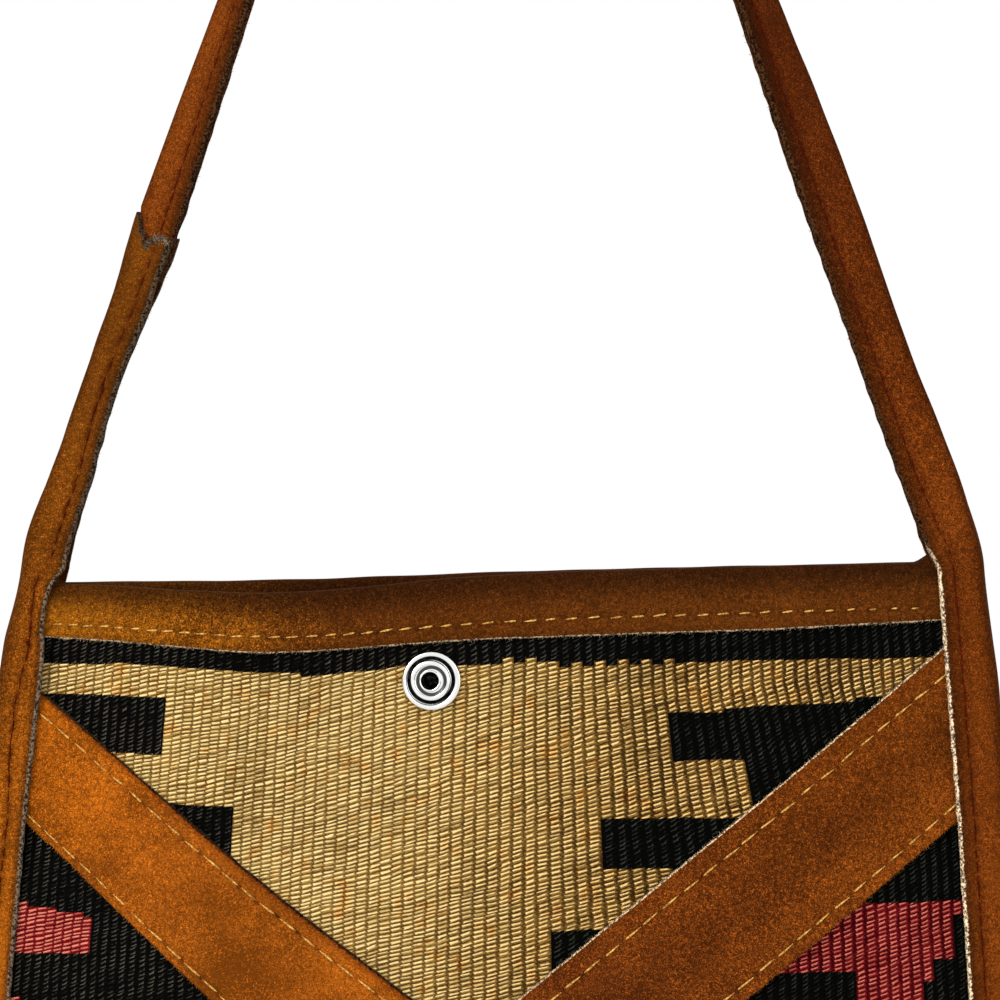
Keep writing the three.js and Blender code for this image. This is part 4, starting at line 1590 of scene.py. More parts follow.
@dataclass(frozen=True)
class FoldedStrips:
    """Route of the strap: side bindings, legs with a quarter turn, and the bend over a peg.

    Swellings are given by size, middle and reach, and climbs by size, start and end.
    """

    pouch: PouchShape
    thickness: float = 1.2 * MM
    clearance: float = 0.3 * MM
    left_width: float = 10.8 * MM
    right_width: float = 13.6 * MM
    corner_pinch: Numbers = mm(1.2, 0.0, 18.0)
    fold_depth: float = 3.0 * MM
    slit: float = 0.15 * MM
    puff: float = 0.5 * MM
    opening_rise: float = 30.0 * MM
    corner_rise: float = 14.0 * MM
    peg_radius: float = 7.0 * MM
    seat_half: float = 3.0 * MM
    twist_share: float = 0.95
    waist: float = 1.4 * MM
    splice_rise: float = 95.0 * MM
    splice_tuck: float = 12.0 * MM
    splice_ease: float = 7.0 * MM
    splice_flare: Numbers = mm(1.9, 76.0, 95.0)
    upper_spread: float = 1.5 * MM
    right_spread: Numbers = mm(1.6, 45.0, 120.0)
    left_spread: Numbers = mm(1.5, -2.0, 14.0)
    left_lean_rises: Numbers = mm(10.0, 22.0, 80.0, 90.0)
    left_leans: Numbers = mm(0.0, 0.75, 0.75, 0.0)
    left_flare: Numbers = mm(1.7, 11.0, 12.0)
    right_flare: Numbers = mm(1.1, 22.0, 24.0)
    tucked_width: float = 10.1 * MM
    tuck_ease: float = 5.0 * MM
    torn_notch: float = 4.5 * MM
    torn_tip: float = 3.0 * MM
    trim_tuck: float = 5.0 * MM
    left_foot: float = 60.7 * MM
    right_foot: float = 63.7 * MM
    step: float = 1.4 * MM
    bend_stations: int = 13
    left_wander: EdgeWander = EdgeWander(
        End.LEFT, mm(298.0, 302.0, 305.5, 308.8, 312.8, 321.0, 325.0, 335.0, 340.0, 351.0, 367.0, 382.0),
        mm(0.0, 0.6, 1.7, -0.2, -1.3, -1.5, -0.6, -0.5, -0.7, -0.8, -0.9, -0.9),
        mm(0.5, 1.1, 0.8, -0.4, -0.7, -0.5, -0.6, -1.9, -2.5, -2.6, -1.4, -1.8),
        mm(0.0, 0.5, 1.6, 1.8, 0.3, *(0.0,) * 7))
    right_wander: EdgeWander = EdgeWander(
        End.RIGHT, mm(294.0, 298.0, 300.7, 303.5, 306.0), mm(0.0, 0.7, 1.4, 0.6, 0.0), (0.0,) * 5,
        mm(0.0, 0.7, 1.4, 0.8, 0.0))

    def full_width(self, end: End, away: float) -> float:
        """Width of a strip at a distance from the mouth corner, where it is pulled in."""
        width = self.left_width if end is End.LEFT else self.right_width
        return width - swelling(away, *self.corner_pinch)

    def room(self, side: Side, end: End, tuck: Array, drop: float) -> Array:
        """Room under a side binding: the kilim and what is tucked in over it.

        Args:
            side: Wall of the pouch.
            end: End of the bag.
            tuck: Distances outwards from the cut edge.
            drop: Distance below the mouth line.

        Returns:
            Distances from the middle plane.
        """
        shape, front = self.pouch, side is Side.FRONT
        foot = self.left_foot if end is End.LEFT else self.right_foot
        up_to = foot + self.trim_tuck if front else shape.under_binding
        over = foot + 3.0 * self.trim_tuck if front else shape.under_snap
        x = shape.raw_edge(end, drop) + end * np.minimum(tuck, shape.seam_tuck)
        layer = np.interp(drop, (up_to, over), (self.thickness + 2.0 * self.clearance, 0.0))
        return shape.outer(side, x, min(drop, shape.height)) + self.clearance + layer

    def binding(self, end: End, drop: float) -> Section:
        """Section where a strip binds a side of the pouch.

        Args:
            end: End of the bag.
            drop: Distance below the mouth line.

        Returns:
            The section.
        """
        shape = self.pouch
        width = self.full_width(end, drop)
        if end is End.LEFT:
            width = width + climb(drop, *self.left_spread)
        places = np.array([0.0, shape.seam_tuck / 2.0, width - self.fold_depth])

        def put(u: Array, v: Array) -> Array:
            """Place points beside the seam."""
            x = shape.raw_edge(end, drop) + end * u
            return np.stack((x, -v, mix(shape.mouth_line(x), shape.bottom, drop / shape.height)), axis=1)

        rooms = [self.room(side, end, places, drop) for side in Side]
        return Section(width, self.fold_depth, places, *rooms, 0.0, put)

    def leg(self, end: End) -> Leg:
        """Middle line of one leg, tangent to the peg.

        Args:
            end: End of the bag.

        Returns:
            The leg.
        """
        x = self.pouch.raw_edge(end, 0.0) + end * self.full_width(end, 0.0) / 2.0
        corner = np.array([x, self.pouch.mouth_line(x)])
        centre = np.array([end * self.seat_half, self.slit + self.thickness - self.peg_radius])
        reach = corner - centre
        far = float(np.linalg.norm(reach))
        along = reach / far
        across = end * np.array([-along[1], along[0]])
        cosine = self.peg_radius / far
        normal = along * cosine + across * math.sqrt(1.0 - cosine**2)
        top = centre + normal * self.peg_radius
        return Leg(corner, centre, normal, top, float(np.linalg.norm(top - corner)))

    def strap(self, at: Array, inward: Array, twist: float, raw_at: float, **shape: Reals) -> Section:
        """Section across the strap, turned by a twist from facing forward to lying on the peg.

        Args:
            at: Middle of the strap, in X and Z.
            inward: The way towards the inside of the loop, in X and Z.
            twist: Angle of the turn.
            raw_at: Distance of the cut edges from the middle.
            shape: The other sizes of the section.

        Returns:
            The section.
        """
        inwards = np.array([inward[0], 0.0, inward[1]])
        forward = np.array([0.0, float(Side.FRONT), 0.0])
        across = inwards * math.cos(twist) + forward * math.sin(twist)
        out = forward * math.cos(twist) - inwards * math.sin(twist)
        middle = np.array([at[0], 0.0, at[1]])

        def put(u: Array, v: Array) -> Array:
            """Place points across the strap."""
            return middle + np.outer(raw_at - u, across) + np.outer(v, out)

        width, fold = shape["width"], shape["fold"]
        return Section(places=np.array([0.0, width / 2.0, width - fold]), put=put, **shape)

    def on_leg(self, end: End, rise: float, **change: Reals) -> Section:
        """Section on a leg with changes of its shape.

        Args:
            end: End of the bag.
            rise: Length above the mouth corner.
            change: Sizes that differ from those of a plain leg.

        Returns:
            The section.
        """
        leg = self.leg(end)
        opened = 1.0 - smoothstep(rise, 0.0, self.opening_rise)
        width = self.full_width(end, rise)
        mouth = self.binding(end, 0.0)
        twist = math.pi / 2.0 * smoothstep(rise / leg.length, 0.0, self.twist_share)
        shape = {
            "raw_at": width / 2.0,
            "width": width,
            "fold": mix(self.slit + self.thickness, self.fold_depth, opened),
            "front": mix(self.slit, mouth.front, opened),
            "back": mix(self.slit, mouth.back, opened),
            "puff": self.puff * (1.0 - opened) * math.cos(twist),
        }
        return self.strap(mix(leg.corner, leg.top, rise / leg.length), -leg.normal, twist, **(shape | change))

    def on_bend(self, end: End, share: float) -> Section:
        """Section on the bend over the peg, from a leg's top to the seat.

        Args:
            end: End of the bag.
            share: How far round the bend, from the leg to the seat.

        Returns:
            The section.
        """
        leg = self.leg(end)
        angle = mix(math.atan2(leg.normal[1], leg.normal[0]), math.pi / 2.0, share)
        out = np.array([math.cos(angle), math.sin(angle)])
        width = self.full_width(end, leg.length)
        closed = np.full(3, self.slit)
        return self.strap(leg.centre + out * self.peg_radius, -out, math.pi / 2.0, width / 2.0, width=width,
                          fold=self.slit + self.thickness, front=closed, back=closed, puff=0.0)

    def tucked(self, rise: float) -> Section:
        """Section of the main strip's left end, narrowed where it goes into the lower strip."""
        tucked = 1.0 - smoothstep(rise, self.splice_rise, self.splice_rise + self.tuck_ease)
        free = self.full_width(End.LEFT, rise)
        width = mix(free + self.upper_spread, self.tucked_width, tucked)
        section = self.on_leg(End.LEFT, rise, width=width, raw_at=(free - self.clearance * tucked) / 2.0)
        return replace(section, puff=section.puff * (1.0 - tucked))

    def lower(self, rise: float) -> Section:
        """Section of the lower left strip's leg: waisted, then opened over the tucked end.

        Args:
            rise: Length above the mouth corner.

        Returns:
            The section.
        """
        tip = self.splice_rise - self.splice_tuck
        shut = tip - self.splice_ease
        free = self.full_width(End.LEFT, rise)
        width = free + climb(rise, *self.splice_flare) + swelling(rise, *self.left_flare)
        raw_at = free / 2.0 - np.interp(rise, self.left_lean_rises, self.left_leans)
        if rise <= shut:
            share = max(0.0, rise - self.opening_rise) / (shut - self.opening_rise)
            taken = self.waist * math.sin(math.pi * share)
            return self.on_leg(End.LEFT, rise, width=width - taken, raw_at=raw_at - taken)
        opened = smoothstep(rise, shut, tip - self.clearance)
        room = np.full(3, self.slit + (self.thickness + self.clearance) * opened)
        section = self.on_leg(End.LEFT, rise, width=width, raw_at=raw_at, fold=room[0] + self.thickness,
                              front=room, back=room)
        return replace(section, puff=section.puff * (1.0 - opened))

    def right(self, rise: float) -> Section:
        """Section of the right leg, a little wider over the mouth corner."""
        free = self.full_width(End.RIGHT, rise)
        width = free + swelling(rise, *self.right_flare) + climb(rise, *self.right_spread)
        return self.on_leg(End.RIGHT, rise, width=width, raw_at=free / 2.0)

    def steps(self, start: float, stop: float) -> Array:
        """Even steps from start to stop, both included."""
        return np.linspace(start, stop, max(2, round(abs(stop - start) / self.step)) + 1)

    def side(self, end: End, profile: FoldProfile) -> list[Array]:
        """Rings of a side binding from the hem up, and of the smooth turn above it into a leg.

        Args:
            end: End of the bag.
            profile: Points of a section.

        Returns:
            Places by ring and point.
        """
        hem = self.pouch.outer(Side.FRONT, np.zeros(1), self.pouch.height) + self.pouch.height
        rings = [profile.ring(self.binding(end, drop)) for drop in self.steps(float(hem[0]), 0.0)]
        above = self.lower if end is End.LEFT else self.right
        low, high = rings[-1], profile.ring(above(self.corner_rise))
        start = (low - profile.ring(self.binding(end, self.step))) * (self.corner_rise / self.step)
        stop = self.leg(end).up * self.corner_rise
        for t in self.steps(0.0, self.corner_rise)[1:-1] / self.corner_rise:
            h00, h10 = 2.0 * t**3 - 3.0 * t**2 + 1.0, t**3 - 2.0 * t**2 + t
            h01, h11 = -2.0 * t**3 + 3.0 * t**2, t**3 - t**2
            rings.append(h00 * low + h10 * start + h01 * high + h11 * stop)
        return rings

    def main_rings(self, profile: FoldProfile) -> Array:
        """Rings of the long strip: right binding, right leg, bend, left leg, tucked end.

        Args:
            profile: Points of a section.

        Returns:
            Places by ring and point.
        """
        rings = list(self.right_wander.moved(np.stack(self.side(End.RIGHT, profile)), profile))
        right = self.steps(self.corner_rise, self.leg(End.RIGHT).length)
        bend = np.linspace(0.0, 1.0, self.bend_stations)
        left = self.steps(self.leg(End.LEFT).length, self.splice_rise - self.splice_tuck)
        sections = [self.right(rise) for rise in right[:-1]]
        sections += [self.on_bend(End.RIGHT, share) for share in bend]
        sections += [self.on_bend(End.LEFT, share) for share in bend[::-1]]
        sections += [self.tucked(rise) for rise in left[1:]]
        return np.stack(rings + [profile.ring(section) for section in sections])

    def lower_rings(self, profile: FoldProfile, tear: Array) -> Array:
        """Rings of the lower left strip up to its torn end.

        Args:
            profile: Points of a section.
            tear: Length by which each point of the last ring is torn off or left standing.

        Returns:
            Places by ring and point.
        """
        up = self.leg(End.LEFT).up
        rings = self.side(End.LEFT, profile)
        rises = self.steps(self.corner_rise, self.splice_rise)
        for rise in np.insert(rises, -1, self.splice_rise - self.slit):
            torn = max(0.0, 1.0 - (self.splice_rise - rise) / (2.0 * self.torn_notch))
            rings.append(profile.ring(self.lower(rise)) + np.outer(tear * torn, up))
        return self.left_wander.moved(np.stack(rings), profile)


@dataclass(frozen=True)
class MouthBinding:
    """Suede folded over the top edge of one wall, as columns of points along the mouth."""

    pouch: PouchShape
    side: Side
    thickness: float = 1.0 * MM
    clearance: float = 0.3 * MM
    depth: float = 13.8 * MM
    inner_depth: float = 11.0 * MM
    tuck: float = 5.0 * MM
    skive: float = 0.45 * MM
    puff: float = 0.3 * MM
    fillet: float = 2.6 * MM
    fillet_reach: float = 5.5 * MM
    depth_places: Numbers = mm(-112.0, -58.0, -37.0, 13.0, 68.0, 114.0)
    depths: Numbers = mm(12.4, 14.2, 14.3, 15.2, 14.7, 13.4)
    stations: int = 210
    leg_steps: int = 14
    fold_steps: int = 9
    inner_steps: int = 8
    frayed: float = 0.4
    edge_depth: float = 0.3
    seam_places: Numbers = mm(-109.0, -47.0, -1.0, 51.0, 112.0)
    seam_drops: Numbers = mm(8.9, 10.2, 10.8, 10.4, 10.0)

    def loft(self) -> tuple[Array, Array, Array, SewnLine]:
        """Work out the binding.

        Returns:
            Its rings, how much each point belongs to the cut edges, how far down the outside each
            point lies, and the line of its seam.
        """
        shape = self.pouch
        ends = [shape.raw_edge(end, 0.0) + end * self.tuck for end in End]
        x = np.linspace(*ends, self.stations)
        depth = np.full_like(x, self.depth)
        if self.side is Side.FRONT:
            depth = np.interp(x, self.depth_places, self.depths)
        falls = np.linspace(1.0, 0.0, self.leg_steps)
        inner_drops = np.linspace(0.0, self.inner_depth - self.skive, self.inner_steps)
        outside = self._outside(x, 0.0) - self.thickness
        inside = self._inside(x, 0.0)
        middle = (outside + inside) / 2.0
        half = (outside - inside) / 2.0 + self.thickness
        drawn_up = smoothstep(x, shape.mouth_right - self.fillet_reach, shape.mouth_right)
        rise = self.clearance + self.thickness + self.fillet * drawn_up
        columns = [self._at(x, self._outside(x, drop), drop) for drop in np.outer(falls, depth - self.skive)]
        for angle in np.linspace(0.0, math.pi, self.fold_steps + 1)[1:-1]:
            columns.append(self._at(x, middle + half * math.cos(angle), 0.0, rise * math.sin(angle)))
        for drop in inner_drops:
            columns.append(self._at(x, self._inside(x, drop) - self.thickness, drop))
        for u, v in CUT_RIM[::-1]:
            drop = self.inner_depth - self.skive * u
            columns.append(self._at(x, self._inside(x, drop) - self.thickness * v, drop))
        columns.append(self._at(x, inside, 0.0, self.clearance))
        columns.append(self._at(x, outside, 0.0, self.clearance))
        for u, v in CUT_RIM:
            drop = depth - self.skive * u
            columns.append(self._at(x, self._outside(x, drop) - self.thickness * (1.0 - v), drop))
        fall = np.concatenate((falls * self.depth, np.zeros(len(columns) - self.leg_steps)))
        cut = np.zeros(len(columns))
        cut[self.outside:self.outside + len(CUT_RIM)] = 1.0
        cut[-len(CUT_RIM):] = 1.0
        cut[0] = self.frayed
        return np.stack(columns, axis=1), cut, fall, self._line(x, depth)

    @property
    def outside(self) -> int:
        """Number of points round the outside of a section."""
        return self.leg_steps + self.fold_steps - 1 + self.inner_steps

    def _outside(self, x: Array, drop: Reals) -> Array:
        """Distance of the outer face from the middle plane."""
        swell = self.puff * np.sin(math.pi * np.clip(np.asarray(drop) / self.depth, 0.0, 1.0))
        return self.pouch.outer(self.side, x, drop) + self.clearance + self.thickness + swell

    def _inside(self, x: Array, drop: Reals) -> Array:
        """Distance of the layer inside the pouch, on its side towards the kilim, from the middle plane."""
        return self.pouch.gap(self.side, x, drop) - self.clearance

    def _at(self, x: Array, offset: Array, drop: Reals, rise: float = 0.0) -> Array:
        """Points at a distance from the middle plane and a drop, or a rise over the cloth's edge."""
        height = self.pouch.wall_height(self.side, x, drop) + rise
        return np.stack((x, self.side * offset, height), axis=1)

    def _line(self, x: Array, depth: Array) -> SewnLine:
        """Line of the seam and of the cut edge under it.

        Args:
            x: Places across the bag.
            depth: Depth of the binding at them.

        Returns:
            The line.
        """
        drop = np.interp(x, self.seam_places, self.seam_drops)
        offset = self._outside(x, drop)
        seam = self._at(x, offset, drop)
        outward = self._at(x, offset + MM, drop) - seam
        edge = self._at(x, self._outside(x, depth) - self.edge_depth * self.thickness, depth)
        return SewnLine(edge, seam, outward)


@dataclass(frozen=True)
class ChevronLeg:
    """One leg of the V, as columns of points along it."""

    pouch: PouchShape
    end: End
    top_drop: float
    foot_drop: float
    upper_insets: Pair
    lower_insets: Pair
    inner_point: float = 115.7 * MM
    outer_point: float = 162.7 * MM
    point_x: float = -5.5 * MM
    thickness: float = 1.2 * MM
    clearance: float = 0.3 * MM
    tuck: float = 5.0 * MM
    skive: float = 0.55 * MM
    puff: float = 0.25 * MM
    stations: int = 130
    face_steps: int = 44
    under_steps: int = 8
    under_span: Pair = (0.95, 0.05)
    upper_rim: float = 1.0
    lower_rim: float = 0.3
    frayed: float = 0.4
    edge_lift: float = 0.7

    def loft(self) -> tuple[Array, Array, Array, list[SewnLine]]:
        """Work out the leg.

        Returns:
            Its rings, how much each point belongs to the cut edges, the share of the width at which it
            lies, and the upper and lower seams.
        """
        along = np.linspace(0.0, 1.0, self.stations)
        upper = self._edge(self.top_drop, self.inner_point, along)
        lower = self._edge(self.foot_drop, self.outer_point, along)
        skive = self.skive / np.linalg.norm(lower - upper, axis=1).mean()
        spots = [(share, 1.0) for share in np.linspace(skive, 1.0 - skive, self.face_steps)]
        spots += [(1.0 - skive * u, v) for u, v in CUT_RIM[::-1]]
        spots += [(share, 0.0) for share in np.linspace(*self.under_span, self.under_steps)]
        spots += [(skive * u, v) for u, v in CUT_RIM]
        columns = [self._at(upper, lower, share, lift) for share, lift in spots]
        across = np.array([share for share, _ in spots])
        cut = np.zeros(len(columns))
        cut[self.face_steps:self.face_steps + len(CUT_RIM)] = self.lower_rim
        cut[-len(CUT_RIM):] = self.upper_rim
        cut[[0, self.face_steps - 1]] = self.frayed * self.upper_rim, self.frayed * self.lower_rim
        width = lower[:, 1] - upper[:, 1]
        seams = [mix(*self.upper_insets, along) / width, 1.0 - mix(*self.lower_insets, along) / width]
        lines = [self._line(upper, lower, seam, edge) for seam, edge in zip(seams, (0.0, 1.0))]
        return np.stack(columns, axis=1), cut, across, lines

    def _edge(self, side_drop: float, point_drop: float, along: Array) -> Array:
        """Places across and drops along one edge, from under the side binding to the point of the V."""
        meet = self.point_x + self.end * self.clearance / 2.0
        raw = float(self.pouch.raw_edge(self.end, side_drop))
        slope = (point_drop - side_drop) / abs(raw - meet)
        start = np.array([raw + self.end * self.tuck, side_drop - slope * self.tuck])
        return start + np.outer(along, np.array([meet, point_drop]) - start)

    def _at(self, upper: Array, lower: Array, share: Reals, lift: float) -> Array:
        """Points at a share of the width, lifted by a share of the thickness.

        Args:
            upper: Upper edge, across and down.
            lower: Lower edge, across and down.
            share: Share of the width.
            lift: Share of the thickness.

        Returns:
            The points.
        """
        spot = upper + (lower - upper) * np.broadcast_to(share, upper.shape[:1])[:, None]
        x, drop = spot[:, 0], spot[:, 1]
        swell = self.puff * lift * np.sin(math.pi * np.clip(share, 0.0, 1.0))
        over_kilim = self.clearance + self.thickness * lift + swell
        y = Side.FRONT * (self.pouch.outer(Side.FRONT, x, drop) + over_kilim)
        return np.stack((x, y, self.pouch.wall_height(Side.FRONT, x, drop)), axis=1)

    def _line(self, upper: Array, lower: Array, seam: Array, edge: float) -> SewnLine:
        """Line of a seam and of the cut edge beside it."""
        on_face = self._at(upper, lower, seam, 1.0)
        outward = np.broadcast_to(np.array([0.0, -1.0, 0.0]), on_face.shape)
        return SewnLine(self._at(upper, lower, edge, self.edge_lift), on_face, outward)


@dataclass
class Seam:
    """Row of stitches along a sewn line, with pitches and lengths from its start to its end."""

    name: str
    pitches: Numbers
    lengths: Numbers
    thread: float
    start: float = 2.0 * MM
    stop: float = 2.0 * MM
    lean: float = 0.0
    taper: float = 0.35
    pull: float = 0.28 * MM
    pull_reach: float = 1.1 * MM
    hole: float = 0.55 * MM
    crease_shade: float = 0.0
    hole_pull: float = 0.6
    hole_shade: float = 0.85
    thread_sides: int = 8
    thread_rings: int = 9
    arch: float = 0.35
    dive: float = 0.9
    sunk: float = 0.8
    stray_lean: float = 0.03
    stray_aside: float = 0.08 * MM
    length_spread: Pair = (0.9, 1.08)
    pitch_spread: Pair = (0.93, 1.07)
    seed: int = 3

    def places(self, line: SewnLine) -> list[StitchPlace]:
        """Seat the stitches on a line.

        Args:
            line: The line.

        Returns:
            Places of the stitches.
        """
        rng = np.random.default_rng(self.seed)
        found = []
        distance = self.start
        while distance < line.length - self.stop:
            share = distance / line.length
            pitch, length = (float(np.interp(share, np.linspace(0.0, 1.0, len(sizes)), sizes))
                             for sizes in (self.pitches, self.lengths))
            _, point, along, outward = line.at(distance)
            along = (along - outward * along.dot(outward)).normalized()
            side = outward.cross(along)
            along = (along + side * (self.lean + rng.normal(0.0, self.stray_lean))).normalized()
            spot = point + side * rng.normal(0.0, self.stray_aside)
            found.append(StitchPlace(spot, along, outward, length * rng.uniform(*self.length_spread)))
            distance += pitch * rng.uniform(*self.pitch_spread)
        return found

    def sew(self, places: Sequence[StitchPlace]) -> Object:
        """Lay a stitch at every place.

        Args:
            places: Where the stitches lie.

        Returns:
            The seam's thread.
        """
        shape, corners = self._stitch()
        points = []
        faces = []
        for place in places:
            side = place.outward.cross(place.along)
            base = len(points)
            for x, y, z in shape:
                height = z * place.girth - self.sunk * self.pull
                points.append(place.point + place.along * (x * place.length) + side * (y * place.girth)
                              + place.outward * height)
            faces += [[base + i for i in corner] for corner in corners]
        return smooth(place_mesh(self.name, points, faces))

    def _stitch(self) -> tuple[Array, list[list[int]]]:
        """Model one stitch: a thread of unit length that dives into the suede at both ends.

        Returns:
            Its places, along X and standing up along Z, and its faces.
        """
        middle = (0.0, 0.0, 0.0)
        obj = added(bpy.ops.mesh.primitive_uv_sphere_add, segments=self.thread_sides,
                    ring_count=self.thread_rings, radius=0.5)
        with editing(obj):
            bpy.ops.transform.rotate(value=math.pi / 2.0, orient_axis="Y", center_override=middle)
            bpy.ops.transform.resize(value=(1.0, self.thread, self.thread), center_override=middle)
        mesh = obj.data
        points = vertex_array(mesh)
        along = 2.0 * points[:, 0]
        points[:, 1:] *= (1.0 + self.taper * along)[:, None]
        points[:, 2] += self.thread * (self.arch - self.dive * along**4)
        corners = [list(polygon.vertices) for polygon in mesh.polygons]
        bpy.data.objects.remove(obj)
        return points, corners


@dataclass
class Fuzz:
    """Short loose fibres, each a thin tapered spike."""

    name: str
    finish: ThreadFinish
    length: Pair
    width: float
    seed: int
    root_inset: float = 0.2 * MM
    root_depth: float = 0.7 * MM
    stray: float = 0.6
    rise: Pair = (0.25, 0.4)
    curl: float = 0.35
    rings: tuple[Pair, ...] = ((0.0, 1.0), (0.55, 0.7))
    points: list[Vector] = field(default_factory=list)
    faces: list[tuple[int, ...]] = field(default_factory=list)

    def __post_init__(self) -> None:
        """Start the random draws."""
        self.rng = np.random.default_rng(self.seed)

    def along(self, line: SewnLine, per_mm: float, start: float = 0.0, stop: float = 0.0) -> None:
        """Grow fibres along a cut edge.

        Args:
            line: Sewn line with the cut edge.
            per_mm: Fibres per millimetre.
            start: Length left bare at its start.
            stop: Length left bare at its end.
        """
        span = line.length - start - stop
        for _ in range(int(span / MM * per_mm)):
            edge, seam, along, outward = line.at(start + self.rng.uniform(0.0, span))
            over = (seam - edge).normalized()
            root = edge + over * self.root_inset - outward * self.rng.uniform(0.0, self.root_depth)
            way = -over + along * self.rng.normal(0.0, self.stray) + outward * self.rng.normal(*self.rise)
            self.spike(root, way.normalized())

    def spike(self, root: Vector, way: Vector, stretch: float = 1.0) -> None:
        """Add one fibre: a bent spike of three sides.

        Args:
            root: Where it grows from.
            way: Its direction.
            stretch: Factor on its length.
        """
        length = self.rng.uniform(*self.length) * stretch
        side = way.orthogonal().normalized()
        other = way.cross(side)
        curl = (side * self.rng.normal(0.0, self.curl) + other * self.rng.normal(0.0, self.curl)) * length
        base = len(self.points)
        for share, thick in self.rings:
            centre = root + way * (length * share) + curl * share * share
            for turn in range(3):
                angle = 2.0 * math.pi * turn / 3.0
                radius = 0.5 * self.width * thick
                self.points.append(centre + (side * math.cos(angle) + other * math.sin(angle)) * radius)
        self.points.append(root + way * length + curl)
        self.faces.append((base + 2, base + 1, base))
        for i in range(3):
            j = (i + 1) % 3
            self.faces.append((base + i, base + j, base + 3 + j, base + 3 + i))
            self.faces.append((base + 3 + i, base + 3 + j, base + 6))

    def build(self) -> None:
        """Make the fibres one piece."""
        finish_piece(place_mesh(self.name, self.points, self.faces), self.finish.material())


@dataclass
class TurnedPiece:
    """Round metal piece, spun about the snap's axis from a closed profile of radii and heights."""

    name: str
    node: str
    profile: list[Pair]
    facing: Side
    seat: float
    axis: Pair
    segments: int = 64
    weld: float = 0.001 * MM
    bevel: float = 0.12 * MM
    bevel_segments: int = 3
    bevel_angle: float = math.radians(25.0)
    face_rim: Pair = (0.72, 0.94)
    face_level: float = 0.3 * MM
    dark_within: float = 0.0
    dark_under: float = -1.0
    off_centre: float = 0.0

    def build(self) -> Object:
        """Spin the profile and round its edges.

        Returns:
            The finished piece.
        """
        x, z = self.axis
        obj = added(bpy.ops.mesh.primitive_circle_add, vertices=len(self.profile))
        obj.name = self.name
        obj.data.name = self.name
        points = [(x + radius, self.seat + self.facing * height, z) for radius, height in self.profile]
        set_vertices(obj.data, np.array(points))
        with editing(obj):
            bpy.ops.mesh.spin(
                steps=self.segments, angle=2.0 * math.pi, center=(x, 0.0, z), axis=(0.0, 1.0, 0.0))
            bpy.ops.mesh.select_all(action="SELECT")
            bpy.ops.mesh.remove_doubles(threshold=self.weld)
            bpy.ops.mesh.delete_loose()
        face_outwards(obj)
        apply_modifier(obj, "BEVEL", width=self.bevel, segments=self.bevel_segments,
                       limit_method="ANGLE", angle_limit=self.bevel_angle)
        self._press(obj.data)
        return smooth(obj)

    def dress(self, obj: Object, material: Material) -> None:
        """Give the piece its plate."""
        finish_piece(obj, material, [self.node])

    def _press(self, mesh: Mesh) -> None:
        """Mark where shade is painted inside the snap, and press the face a little to the left of the rim.

        Args:
            mesh: Mesh of the piece.
        """
        points = vertex_array(mesh)
        away = np.hypot(points[:, 0] - self.axis[0], points[:, 2] - self.axis[1])
        level = self.facing * (points[:, 1] - self.seat)
        set_attribute(mesh, "inside", (level < self.dark_under) | (away < self.dark_within))
        radius = max(ring[0] for ring in self.profile)
        share = (1.0 - smoothstep(away / radius, *self.face_rim)) * smoothstep(level, 0.0, self.face_level)
        points[:, 0] -= self.off_centre * share
        set_vertices(mesh, points)


